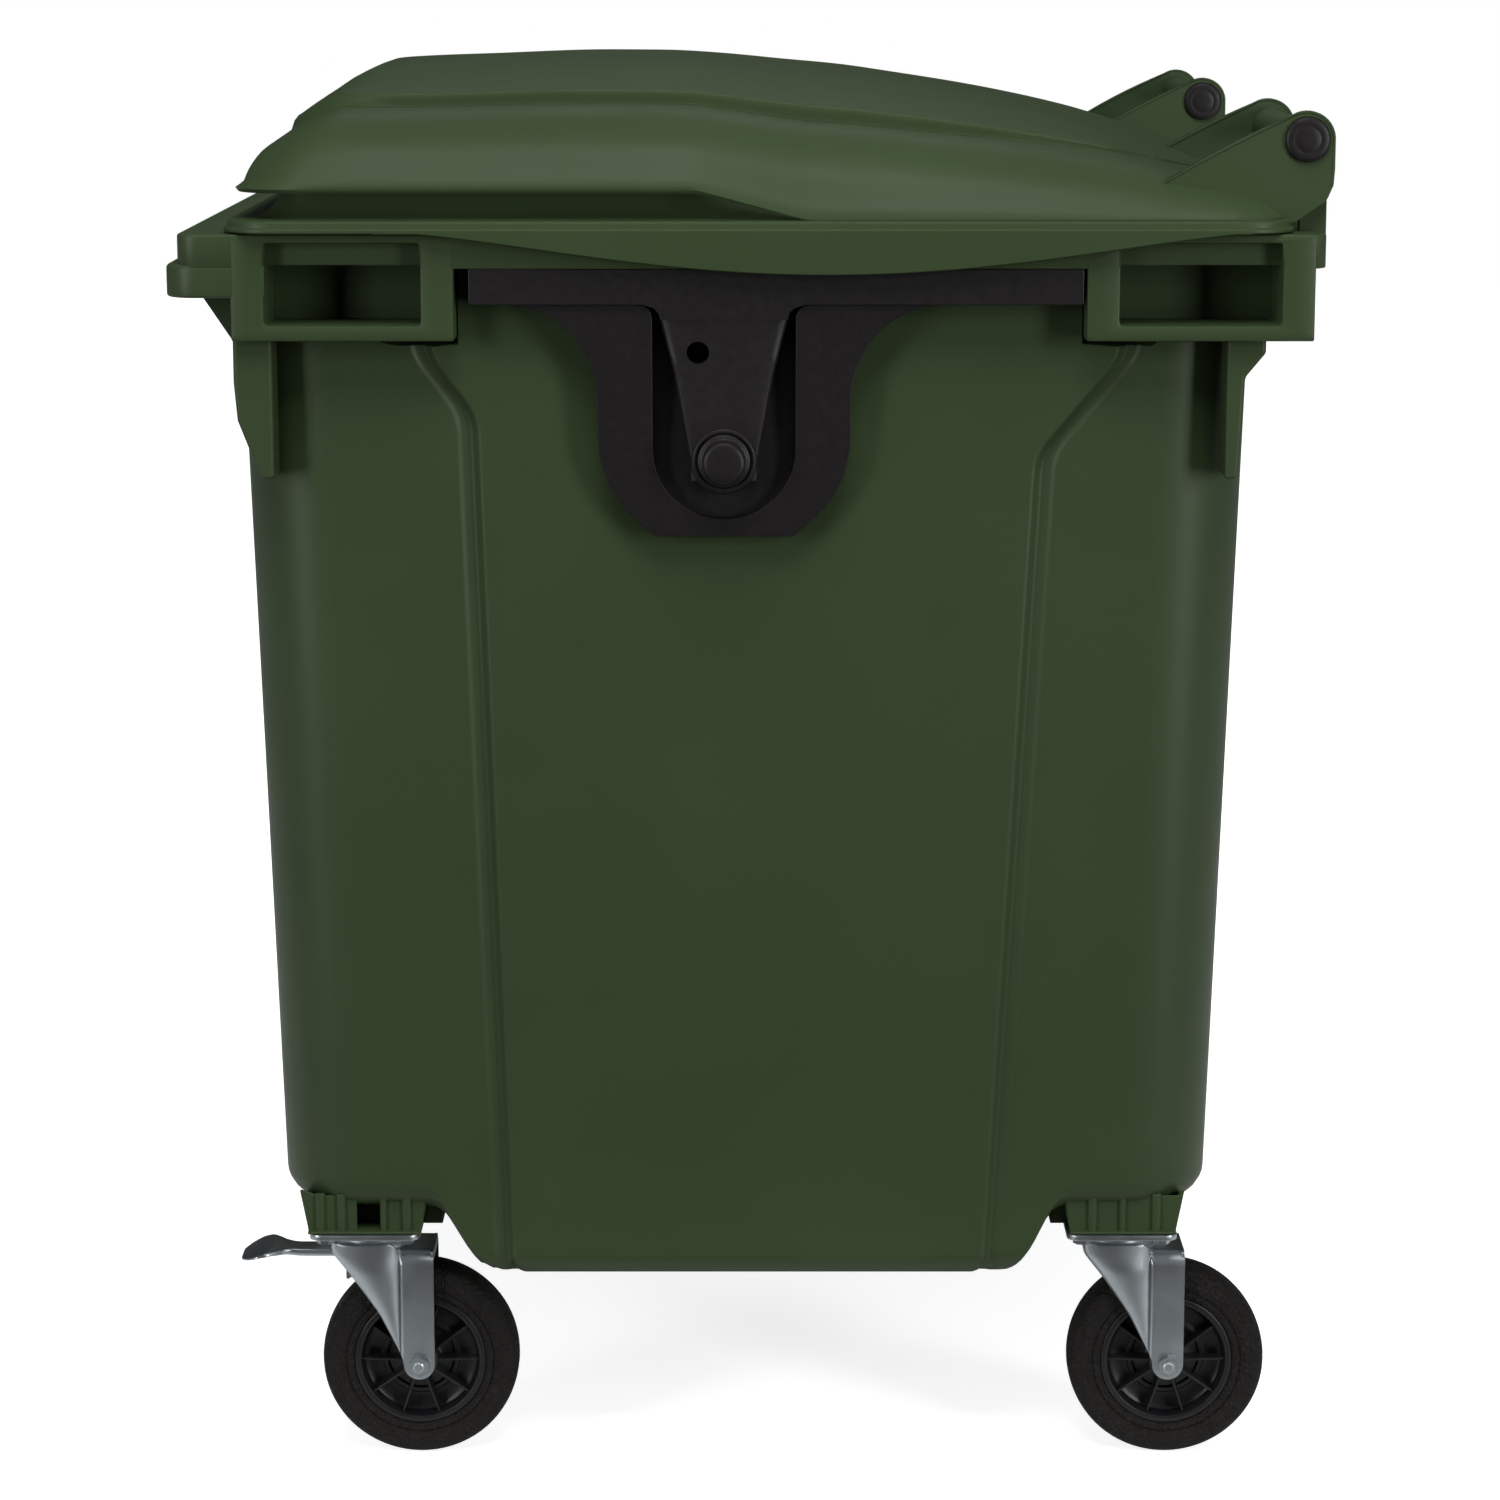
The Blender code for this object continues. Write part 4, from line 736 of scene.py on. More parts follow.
def make_post(side, front, tag):
    """Stiffening post under a pocket: its outline in Y and Z narrows below the knee."""
    if front:
        points = [(-0.488, 1.150, 0), (-0.488, 1.100, 0.006), (-0.485, 1.064, 0.010),
                  (-0.4635, 1.008, 0.004), (-0.451, 1.008, 0.004), (-0.451, 1.150, 0)]
    else:
        points = [(0.487, 1.150, 0), (0.487, 1.128, 0.006), (0.468, 1.105, 0.010),
                  (0.4628, 1.008, 0.004), (0.450, 1.008, 0.004), (0.450, 1.150, 0)]
    post = slab(outline(points, 4), 0.590, 0.640)
    make_piece("corner_post_" + tag, mirrored([post], side), finish("green"), "container",
               bevel=0.004, segments=3)


# Caster mounts
# Heights of a mount's foot and floor, and of the tops of its outer wall and ribs
MOUNT_FOOT, MOUNT_FLOOR, MOUNT_WALL, MOUNT_RIB = 0.2456, 0.2735, 0.2840, 0.2860


def mount_ends(low, high):
    """Two walls that lean away from the kingpin and rise towards the tub's rounded edge."""
    thick = 0.004
    across = np.array([-0.0655, -0.040, 0.0, 0.020, 0.035, 0.045, 0.052, 0.0575])
    top = np.interp(across, (0.0, 0.034, 0.0575), (MOUNT_FLOOR, 0.2790, 0.2895))
    shapes = []
    for near, lean in ((low, -0.0085), (high - thick, 0.0085)):
        shift = lean * (top - MOUNT_FOOT) / 0.045
        rows = [[(x, near, MOUNT_FOOT), (x, near + thick, MOUNT_FOOT),
                 (x, near + thick + out, height), (x, near + out, height)]
                for x, out, height in zip(across, shift, top)]
        shapes.append(skin(np.array(rows), caps=True))
    return shapes


def mount_face(low, high, front):
    """Outer wall, which on the front mounts leaves a dark window between two ribs."""
    shapes = []
    for start, stop in [(low, -0.0075), (0.0155, high)] if front else [(low, high)]:
        wall = [(start, MOUNT_FOOT), (stop, MOUNT_FOOT),
                (stop + (0.0050 if stop == high else 0), MOUNT_WALL)]
        if start == low:
            wall += [(low + 0.010, MOUNT_WALL), (low - 0.0068, 0.2905)]
        else:
            wall.append((start, MOUNT_WALL))
        shapes.append(slab(wall, 0.0570, 0.0590))
    return shapes


def mount_ribs(front):
    """Upright ribs with a rounded plan that stand proud of the outer wall."""
    turn = np.linspace(0, math.pi, 9)
    shapes = []
    for middle in (-0.0440, -0.0230, 0.0190, 0.0420) if front else (-0.030, 0.0, 0.0335):
        wide = 0.0050 if abs(middle) > 0.02 else 0.0036
        plan = np.column_stack([0.0580 + 0.0052 * np.sin(turn) ** 0.7,
                                middle - wide * np.cos(turn)])
        plan = np.concatenate([plan, [(0.0560, middle + wide), (0.0560, middle - wide)]])
        rows = [lifted_ring(plan, height) for height in (MOUNT_FOOT, 0.2700, MOUNT_RIB)]
        shapes.append(skin(np.stack(rows), caps=True))
    return shapes


def make_mount(name, x, y):
    """Closed block under the floor: end walls, outer wall, inner wall, ribs, foot plate, core
    and a brace towards the keel."""
    front = y < 0
    low, high = (-0.056, 0.056) if front else (-0.052, 0.0535)
    inner = slab([(low, MOUNT_FOOT), (high, MOUNT_FOOT), (high, MOUNT_FLOOR), (low, MOUNT_FLOOR)],
                 -0.0655, -0.0625)
    foot = slab([(low, 0.2453), (high, 0.2453), (high + 0.0004, 0.2480), (low - 0.0004, 0.2480)],
                -0.0655, 0.0655)
    core = slab([(low + 0.002, 0.2470), (high - 0.002, 0.2470), (high - 0.002, MOUNT_FLOOR),
                 (low + 0.002, MOUNT_FLOOR)], -0.060, 0.034)
    near, far = (0.0565, 0.0760) if front else (-0.0525, -0.0700)
    brace = slab([(near, 0.2460), (far, 0.2460), (far * 0.92, MOUNT_FLOOR), (near, MOUNT_FLOOR)],
                 -0.060, 0.030)
    shapes = [*mount_ends(low, high), *mount_face(low, high, front), inner, *mount_ribs(front),
              foot, core, brace]
    shapes = [moved(shape, x, y, 0, side=math.copysign(1, x)) for shape in shapes]
    make_piece("caster_mount_" + name, shapes, finish("green"), "container",
               bevel=0.0010)


# Hinges
def make_barrels(side, tag):
    """Barrel turned from a profile with rounded ends, on three webs that rise from the rim."""
    ends = [(0.0115, 0.3198), (0.0155, 0.3198), (0.0168, 0.3206), (0.0170, 0.3220),
            (0.0170, 0.6030), (0.0168, 0.6044), (0.0155, 0.6052), (0.0115, 0.6052)]
    shapes = [moved(turned(ends, 48, closed=True), 0, *HINGE)]
    web = outline([(0.519, 1.2365, 0), (0.519, 1.265, 0.012), (0.5095, 1.321, 0.003),
                   (0.5375, 1.328, 0.003), (0.545, 1.272, 0.020), (0.545, 1.214, 0.007),
                   (0.536, 1.210, 0)], 5)
    for x in (0.3252, 0.4625, 0.5998):
        shapes.append(slab(web, x - 0.005, x + 0.005))
    make_piece("hinge_barrel_" + tag, mirrored(shapes, side), finish("green"), "container",
               bevel=0.0012)


ARM_RADIUS = 0.0265
ARM_WIDTH = 0.012


def make_arm(side, x, name):
    """Hinge arm: a plate whose back curves up from the lid and ends in an arc round the pin,
    with a raised edge along that line and a raised disc round the pin."""
    turn = np.radians(np.linspace(122, -4, 14))
    arc = HINGE + ARM_RADIUS * np.stack([np.cos(turn), np.sin(turn)], 1)
    share = np.linspace(0, 1, 9)
    start, end = np.array([0.388, 1.286]), arc[0]
    back = start + (end - start) * share[:, None]
    back[:, 1] += 0.0035 * np.sin(math.pi * share)
    heel = outline([(0.550, 1.300, 0), (0.549, 1.284, 0.010), (0.543, 1.270, 0.010),
                    (0.513, 1.2488, 0.004), (0.416, 1.2530, 0.004), (0.385, 1.272, 0)], 4)
    points = np.concatenate([back[:-1], arc, heel])
    middle = np.array([[0.47, 1.29]])
    edge = np.concatenate([back[:-1], arc, heel[:8]])
    inner = edge + 0.0030 * (middle - edge) / np.linalg.norm(middle - edge, axis=1, keepdims=True)
    band = np.concatenate([edge, inner[::-1]])
    disc = [(0.0112, x + 0.0006), (0.0240, x + 0.0006), (0.0240, x + 0.0114), (0.0112, x + 0.0114)]
    shapes = [slab(points, x + 0.0008, x + 0.0112), slab(band, x, x + ARM_WIDTH),
              moved(turned(disc, 40, closed=True), 0, *HINGE)]
    make_piece(name, mirrored(shapes, side), finish("green"), "lid",
               bevel=0.0008, angle=40)


def make_cap(tag, place, x, out):
    """Domed cap with a shallow ring, turned about the hinge pin."""
    profile = [(0.0, 0.0050), (0.0060, 0.0049), (0.0118, 0.0047), (0.0124, 0.0044),
               (0.0130, 0.0046), (0.0175, 0.0043), (0.0200, 0.0036), (0.0212, 0.0022),
               (0.0215, 0.0008), (0.0213, 0.0), (0.0, 0.0)]
    name = "hinge_cap_%s_%s" % (tag, place)
    make_piece(name + "_domed", [moved(turned(profile, 56), x, *HINGE, side=out)],
               finish("black"), "lid", [name], angle=50)


def make_hinges():
    """On each side a barrel, an arm at both of its ends and a cap on the far side of each arm."""
    for tag, side in SIDES:
        make_barrels(side, tag)
        for place, x, out in (("inner", 0.3055, -side), ("outer", 0.6080, side)):
            make_arm(side, x, "lid_arm_%s_%s" % (tag, place))
            cap_x = x - 0.0003 if place == "inner" else x + 0.0123
            make_cap(tag, place, side * cap_x, out)


# Lid
LID_HALF_X, LID_FRONT, LID_REAR, LID_CORNER = 0.655, -0.486, 0.505, 0.055
LID_TAIL = 1.2534
LID_WALL = 0.004
# Middle line of the dome: Y and height
RIDGE = ((-0.486, 1.336), (-0.4755, 1.3395), (-0.4675, 1.3445), (-0.457, 1.3500),
         (-0.449, 1.3545), (-0.441, 1.3585), (-0.4300, 1.3668), (-0.417, 1.3745),
         (-0.396, 1.3850), (-0.386, 1.3862), (-0.3576, 1.3868), (-0.2925, 1.3880),
         (-0.162, 1.3922), (-0.097, 1.3918), (-0.0325, 1.3884), (0.0325, 1.3828),
         (0.0975, 1.3768), (0.1627, 1.3672), (0.2281, 1.3566), (0.2936, 1.3440),
         (0.3593, 1.3290), (0.420, 1.3115), (0.460, 1.3010), (0.505, 1.2920))
RIDGE_TOP = max(height for place, height in RIDGE)
# Share of the ridge's height at a share of the way in from the edge, with the step between the
# two tiers and without it, and the strength of that step along Y
FLANK = ((0.0, 0.0), (0.004, 0.07), (0.010, 0.13), (0.030, 0.34), (0.060, 0.50), (0.085, 0.585),
         (0.110, 0.635), (0.140, 0.662), (0.175, 0.676), (0.205, 0.682), (0.2108, 0.683),
         (0.2114, 0.700), (0.2118, 0.782), (0.2135, 0.793), (0.225, 0.803), (0.270, 0.828),
         (0.34, 0.868), (0.50, 0.930), (0.70, 0.972), (1.0, 1.0))
STEP_FADE = ((-0.40, 1.0), (0.20, 1.0), (0.36, 0.55), (0.46, 0.0))
PLAIN_FLANK = ((0.0, 0.0), (0.004, 0.08), (0.010, 0.17), (0.030, 0.36), (0.060, 0.515),
               (0.085, 0.60), (0.110, 0.652), (0.140, 0.69), (0.175, 0.728), (0.215, 0.768),
               (0.270, 0.82), (0.34, 0.872), (0.50, 0.936), (0.70, 0.976), (1.0, 1.0))
# How far the front and the rear lie in, at a share of the way in from the edge
FRONT_INSET = ((0.0, 0.0), (0.004, 0.004), (0.010, 0.007), (0.030, 0.0095), (0.060, 0.0125),
               (0.085, 0.0150), (0.110, 0.018), (0.140, 0.0205), (0.175, 0.0225),
               (0.2108, 0.0240), (0.2118, 0.0400), (0.225, 0.0450), (0.34, 0.069), (0.50, 0.090),
               (0.70, 0.100), (1.0, 0.20))
REAR_INSET = ((0.0, 0.0), (0.060, 0.0080), (0.110, 0.016), (0.205, 0.040), (0.34, 0.065),
              (1.0, 0.13))
# Rows of the dome and of its ceiling, at a share of the way in from the edge
TIERS = (0.0, 0.002, 0.004, 0.007, 0.010, 0.015, 0.022, 0.030, 0.040, 0.050, 0.060, 0.070, 0.080,
         0.090, 0.100, 0.110, 0.122, 0.136, 0.152, 0.170, 0.190, 0.203, 0.2070, 0.2095, 0.2108,
         0.2111, 0.2114, 0.2116, 0.2118, 0.2125, 0.2135, 0.2160, 0.222, 0.230, 0.245, 0.265,
         0.310, 0.34, 0.38, 0.43, 0.49, 0.56, 0.64, 0.73, 0.82, 0.91, 1.0)
STEP_TIER = 0.2115
CEILING_TIERS = (1.0, 0.8, 0.61, 0.45, 0.328, 0.27, 0.241, 0.2255, 0.211, 0.19, 0.16, 0.13, 0.10)
# Hem, out along its underside and in over two beads: inset from its outer edge, and height
HEM = ((0.006, 1.2465), (0.004, 1.2440), (0.0035, 1.2420), (0.0012, 1.2418), (0.0003, 1.2422),
       (0.0, 1.2430), (0.0, 1.2452), (0.0006, 1.2462), (0.0022, 1.2467), (0.0034, 1.2470),
       (0.0036, 1.2476), (0.0036, 1.2515), (0.0042, 1.2527), (0.0056, 1.2533))
# Floor and roof of the grip: share of the way from its wall out to the lid's edge, and rise
GRIP_FLOOR = ((0.55, 0.0), (0.47, 0.0004), (0.36, 0.0022), (0.22, 0.0062), (0.10, 0.0112),
              (0.03, 0.0150))
GRIP_ROOF = ((0.08, 0.0), (0.80, 0.0), (0.93, -0.0008), (0.975, 0.0012), (1.0, 0.0030))


def grip_share(y):
    """One where the grip runs under the lip, nought behind its slanting end."""
    return soft_line(((-0.6, 1), (-0.050, 1), (0.054, 0), (0.6, 0)), 0.006)(y)


def lid_ring(sizes, tier, back=0.0, lower=0.0):
    """Ring of the dome at a share of the way in from its edge. Its height is the lip's, plus the
    flank's share of what the ridge over that place along Y rises above it. Towards the rear the
    flank loses its step."""
    front, rear = np.interp(tier, *zip(*FRONT_INSET)), np.interp(tier, *zip(*REAR_INSET))
    half = max(LID_HALF_X * (1 - tier) - back, 0.0)
    corner = np.interp(tier, (0, 0.2, 1), (LID_CORNER, 0.105, 0.195))
    plan = lid_plan(half, LID_FRONT + front + back, LID_REAR - rear - back,
                    max(corner - back, 0.0))
    y = plan[:, 1]
    base = LID_TAIL + (sizes.lip_height - LID_TAIL) * grip_share(y)
    ridge = eased_line(RIDGE)(y) + sizes.crown - RIDGE_TOP
    sharp = np.interp(y, *zip(*STEP_FADE))
    share = eased_line(FLANK)(tier) * sharp + eased_line(PLAIN_FLANK)(tier) * (1 - sharp)
    if tier < STEP_TIER:
        along = np.clip((y - LID_FRONT) / 0.060, 0, 1)
        share = share * (0.74 + 0.26 * along ** 2 * (3 - 2 * along))
    height = base + (ridge - base) * share
    return lifted_ring(plan, height - lower)


def lid_plan(half_x, low, high, radius):
    """Ring whose side points crowd together where the grip ends."""
    share = np.concatenate([np.linspace(0.02, 0.40, 16), np.linspace(0.415, 0.58, 20),
                            np.linspace(0.60, 0.98, 16)])
    reach_low, reach_high = low + radius, high - radius
    side = (reach_low + (reach_high - reach_low) * share)[None]
    return rings(half_x, low, high, radius, side, arc=12)[0]


def make_lid_shell(sizes):
    """Rings from the middle of the ceiling out to the hem, up over two beads, in to the grip's
    wall, out under the lip and in again over the dome to its crown."""
    hand = sizes.grip_depth
    edge = lid_plan(LID_HALF_X, LID_FRONT, LID_REAR, LID_CORNER)
    deep = lid_plan(LID_HALF_X - hand, LID_FRONT + hand, LID_REAR - hand, 0.036)
    deeper = lid_plan(LID_HALF_X - hand - LID_WALL, LID_FRONT + LID_WALL + hand,
                      LID_REAR - LID_WALL - hand, 0.032)
    grip = grip_share(edge[:, 1])
    reach = (grip * 0.94 + 0.06)[:, None]
    wall, inside = edge + (deep - edge) * reach, edge + (deeper - edge) * reach
    roof = LID_TAIL + 0.001 + (sizes.lip_height - 0.004 - LID_TAIL) * grip
    dome = [lid_ring(sizes, tier) for tier in TIERS]
    ceiling = [lid_ring(sizes, tier, LID_WALL, 0.0055) for tier in CEILING_TIERS]
    ceiling.append(lifted_ring(inside, np.maximum(roof - 0.006, 1.2475)))
    rim = [lifted_ring(inside, 1.2470)]
    for inset, height in HEM:
        plan = lid_plan(0.670 - inset, -0.4955 + inset, 0.512 - inset, 0.050 - inset)
        rim.append(lifted_ring(plan, height))
    for share, rise in GRIP_FLOOR:
        rim.append(lifted_ring(wall + (edge - wall) * share, LID_TAIL + 0.0002 + rise * grip))
    rim.append(lifted_ring(wall, roof - 0.003 * grip))
    for share, rise in GRIP_ROOF:
        rim.append(lifted_ring(wall + (edge - wall) * share, roof + rise * grip))
    points = np.stack(ceiling + rim + dome)
    make_piece("lid_shell", [skin(points)], finish("green"), "lid", ["lid"],
               angle=48)


def make_skirt_panel(side, tag):
    """Hanging side panel: a thin section carried along Y, whose lower edge hangs in an arc."""
    y = np.linspace(-0.352, 0.468, 60)
    span = np.clip((y + 0.310) / 0.766, 0, 1)
    low = 1.2412 - 0.0377 * np.sin(math.pi * span) ** 1.2
    top = np.full_like(y, 1.2442)
    section = np.array([(0.6702, 1, 0), (0.6702, 0, 0.0012), (0.6694, 0, 0.0003),
                        (0.6680, 0, 0.0), (0.6668, 0, 0.0004), (0.6662, 0, 0.0014),
                        (0.6662, 1, 0)])
    x = np.broadcast_to(side * section[:, 0], (len(y), len(section)))
    z = top[:, None] * section[:, 1] + (low[:, None] + section[:, 2]) * (1 - section[:, 1])
    points = np.stack([x, np.broadcast_to(y[:, None], x.shape), z], -1)
    make_piece("skirt_panel_" + tag, [skin(points, caps=True)], finish("green"), "lid",
               angle=40)


# Trunnion brackets
PLATE_TOP = 1.1748
TONGUE_BACK = 0.6236
# Foot of the fillets beside the tongue, and their height
FILLET_FOOT, FILLET_HEIGHT = 1.1608, 0.014


def wall_face(z):
    """X of a bracket's back, close over the raised panel, at a height."""
    return tub_half_x(z) + 0.0083


def horseshoe():
    """Outline of the plate: a lobe round the pin, which flares out under the bar on both sides,
    and a bay between them for the tongue."""
    turn = np.linspace(0, 1, 9) * math.pi / 2
    flare = zip(0.120 + 0.088 * (1 - np.sin(turn)), 1.1746 - 0.088 * (1 - np.cos(turn)))
    lobe = [(out, z, 0) for out, z in flare]
    lobe = [(0.225, 1.180, 0), (0.214, 1.1752, 0)] + lobe[1:]
    lobe += [(0.120, 1.000, 0.110), (0.066, 0.953, 0.004)]
    left = [(-out, z, radius) for out, z, radius in lobe]
    bay = [(0.086, 1.1752, 0), (0.0675, 1.1752, 0.014), (0.0675, 0.970, 0.0672),
           (-0.0675, 0.970, 0.0672), (-0.0675, 1.1752, 0.014), (-0.086, 1.1752, 0)]
    return outline(left + lobe[::-1] + bay, 10) + (LIFTING_PIN[0], 0)


def bracket_shapes():
    """Plate, bar, sunk floor of the bay, and the boss turned about the pin."""
    plate = horseshoe()
    face = np.interp(plate[:, 1], (0.953, 1.175), (0.634, 0.650))
    bar = outline([(-0.264, PLATE_TOP, 0.002), (0.313, PLATE_TOP, 0.002), (0.313, 1.2082, 0.001),
                   (-0.264, 1.2082, 0.001)], 3)
    floor = outline([(-0.070, 1.176, 0), (-0.070, 0.968, 0.066), (0.070, 0.968, 0.066),
                     (0.070, 1.176, 0)], 8) + (LIFTING_PIN[0], 0)
    boss = [(0.0204, TONGUE_BACK), (0.0335, TONGUE_BACK), (0.0332, 0.6520), (0.0326, 0.6580),
            (0.0310, 0.6620), (0.0296, 0.6642), (0.0286, 0.6646), (0.0262, 0.6644),
            (0.0258, 0.6635), (0.0252, 0.6600), (0.0204, 0.6600)]
    return [slab(plate, wall_face(plate[:, 1]), face),
            slab(bar, wall_face(bar[:, 1]) + 0.0004, 0.6549),
            slab(floor, wall_face(floor[:, 1]) + 0.0002, 0.6240),
            moved(turned(boss, 64, closed=True), 0, *LIFTING_PIN)]


def tongue_rows():
    """Rows from the bar down to the boss. Each runs round the tongue's front, whose edges are
    rounded below the fillets, and it leans out and narrows towards the boss."""
    turn = np.linspace(0.12, 1, 9) * math.pi / 2
    height = np.concatenate([[1.2080, PLATE_TOP], PLATE_TOP - FILLET_HEIGHT * np.sin(turn),
                             np.linspace(1.157, 1.03, 14), [1.010]])
    fillet = np.clip((height - FILLET_FOOT) / FILLET_HEIGHT, 0, 1)
    wide = 0.0600 + 0.016 * (1 - np.sqrt(1 - fillet ** 2))
    taper = np.interp(height, (1.029, 1.110, FILLET_FOOT), (0.0320, 0.0470, 0.0600))
    half = np.where(height < FILLET_FOOT, taper, wide)
    front = 0.6550 + 0.0075 * np.clip((1.150 - height) / 0.085, 0, 1) ** 1.3
    across = np.array([-1, -1, -0.985, -0.95, -0.85, -0.5, 0, 0.5, 0.85, 0.95, 0.985, 1, 1])
    sunk = np.array([0, 0.0060, 0.0030, 0.0012, 0.0002, 0, 0, 0, 0.0002, 0.0012, 0.0030, 0.0060, 0])
    x = front[:, None] - sunk * (height <= FILLET_FOOT)[:, None]
    x[:, [0, -1]] = TONGUE_BACK
    y = LIFTING_PIN[0] + half[:, None] * across
    return np.stack([x, y, np.broadcast_to(height[:, None], x.shape)], -1)


def make_bracket(side, tag):
    """Horseshoe plate under a bar, with a sunk bay whose tongue slopes to the pin's boss."""
    tongue = make_piece("lifting_tongue_" + tag, mirrored([skin(tongue_rows(), caps=True)], side),
                        finish("black"), "container", angle=35)
    drill = [(0.0, 0.600), (0.0106, 0.600), (0.0106, 0.700), (0.0, 0.700)]
    cut_out(tongue, moved(turned(drill, 40), 0, -0.049, 1.130, side=side))
    make_piece("lifting_bracket_" + tag, mirrored(bracket_shapes(), side), finish("black"),
               "container", ["trunnion_bracket_" + tag], bevel=0.0012, angle=35)
    pin = [(0.0, 0.6850), (0.0150, 0.6850), (0.0178, 0.6845), (0.0194, 0.6832), (0.0200, 0.6812),
           (0.0200, 0.6700), (0.0206, 0.6688), (0.0222, 0.6684), (0.0242, 0.6680),
           (0.0250, 0.6668), (0.0250, 0.6620), (0.0246, 0.6605), (0.0200, 0.6605),
           (0.0199, 0.6215), (0.0, 0.6215)]
    make_piece("lifting_pin_" + tag, [moved(turned(pin, 64), 0, *LIFTING_PIN, side=side)],
               finish("black"), "container", ["trunnion_pin_" + tag], angle=50)


# Casters
HUB_RIBS = 10
NUT_RADIUS = 0.0105
# Sheet of the fork, the height of its top, and the radius of its rounded ends
FORK_SHEET, FORK_TOP, FORK_END = 0.0030, 0.2275, 0.0156
# X of a leg's bent front part at its edges, and of its flat pad
LEG_X, PAD_X = 0.0325, 0.0368


def tyre_shape(sizes):
    """Tyre's section turned about its axle: a crowned tread, a grained side with a fine groove,
    and a smooth ring that grips the hub."""
    full = sizes.wheel_radius
    half = [(0.0664, 0.0205), (0.0672, 0.0222), (0.0700, 0.0236), (0.0735, 0.0240),
            (0.0742, 0.0236), (0.0747, 0.0229), (0.0752, 0.0236), (0.0760, 0.0246),
            (0.0820, 0.0250), (0.0890, 0.0247), (0.0935, 0.0233), (0.0965, 0.0205),
            (0.0983, 0.0165), (full - 0.0004, 0.0110), (full, 0.0050), (full, 0.0)]
    profile = np.concatenate([half, np.array(half)[-2::-1] * (1, -1)])
    return turned(profile, 112, closed=True)


def hub_shapes():
    """Dished hub turned about its axle, with ten tapered ribs on each side."""
    half = [(0.0063, 0.0270), (0.0120, 0.0270), (0.0160, 0.0266), (0.0178, 0.0255),
            (0.0182, 0.0235), (0.0184, 0.0080), (0.0210, 0.0060), (0.0330, 0.0055),
            (0.0345, 0.0075), (0.0385, 0.0075), (0.0400, 0.0055), (0.0530, 0.0060),
            (0.0570, 0.0090), (0.0590, 0.0190), (0.0600, 0.0215), (0.0620, 0.0222),
            (0.0650, 0.0222), (0.0662, 0.0215)]
    profile = np.concatenate([half, np.array(half)[::-1] * (1, -1)])
    shapes = [turned(profile, 80, closed=True)]
    radius = np.array([0.0150, 0.0595, 0.0595, 0.0150])
    depth = np.array([0.0225, 0.0180, 0.0040, 0.0040])
    half_wide = np.array([0.0014, 0.0009, 0.0016, 0.0026])
    for way in (-1, 1):
        low = np.stack([way * depth, radius, -half_wide], 1)
        high = np.stack([way * depth, radius, half_wide], 1)
        shape = skin(np.stack([low, high]), caps=True)
        shapes.extend(swung(shape, 2 * math.pi * index / HUB_RIBS) for index in range(HUB_RIBS))
    return shapes


def fork_leg():
    """One leg: a pressed sheet. Its front part is an arc in plan that narrows and flattens from
    the cup to the axle. Its rear part is a flat pad, bent in at the top under the crown."""
    turn = np.linspace(0, 1, 10) * math.pi / 2
    height = np.concatenate([[FORK_TOP, 0.2262, 0.2245, 0.2225, 0.2205, 0.2180, 0.2155, 0.2135],
                             np.linspace(0.2110, 0.1040, 26),
                             AXLE_HEIGHT - FORK_END * np.sin(turn)])
    front = soft_line(((0.06, 0.0347), (0.1030, 0.0350), (0.1517, 0.0102), (0.1929, -0.0178),
                       (0.2164, -0.0362), (0.24, -0.0385)), 0.005)(height)
    below = (AXLE_HEIGHT - height) / (FORK_END + 0.0001)
    width = FORK_END * np.sqrt(np.clip(1 - below ** 2, 0, 1))
    foot = height < AXLE_HEIGHT
    front = np.where(foot, TRAIL - width, np.minimum(front, TRAIL - FORK_END))[:, None]
    rear = np.where(foot, TRAIL + width, TRAIL + FORK_END)[:, None]
    edge, bend = 0.0314, 0.0045
    stop = np.maximum(np.minimum(edge, rear - 0.0002), front)
    step = np.array([[0.0, 0.0008, 0.0018, 0.0030, bend]])
    share = np.array([[0.2, 0.5, 0.8, 0.93, 0.98, 1.0]])
    y = np.concatenate([front + (stop - front) * np.linspace(0, 1, 22),
                        np.minimum(edge + step, rear - 0.0001),
                        np.minimum(edge + bend + (rear - edge - bend) * share, rear)], 1)
    y = np.maximum(y, front)
    middle, half = (front + edge) / 2, np.maximum((edge - front) / 2, 0.0004)
    level = height[:, None]
    swell = np.interp(level, (0.100, 0.125, 0.200, FORK_TOP), (0.0006, 0.0035, 0.0120, 0.0110))
    bulge = LEG_X + swell * np.sqrt(np.clip(1 - ((y - middle) / half) ** 2, 0, 1))
    fall = np.clip((y - 0.022) / 0.012, 0, 1) * 0.0105
    pad = np.interp(level + fall, (0.09, 0.2150, 0.2185, 0.2225, 0.2255, FORK_TOP),
                    (PAD_X, PAD_X, 0.0361, 0.0330, 0.0290, 0.0240))
    lift = np.sqrt(np.clip((y - edge + 0.0004) / 0.0030, 0, 1))
    plain = np.minimum(bulge, LEG_X + (pad - PAD_X) + 0.02)
    outer = np.where(y >= edge - 0.0003, LEG_X + (pad - LEG_X) * lift, plain)
    outer = np.where((y > edge + 0.0006) & (pad < LEG_X), pad, outer)
    inner = np.minimum(outer - FORK_SHEET, 0.0400)
    z = np.minimum(level, FORK_TOP - fall)
    ring = np.stack([np.concatenate([outer, inner[:, ::-1]], 1),
                     np.concatenate([y, y[:, ::-1]], 1), np.concatenate([z, z[:, ::-1]], 1)], -1)
    return skin(ring, caps=True)


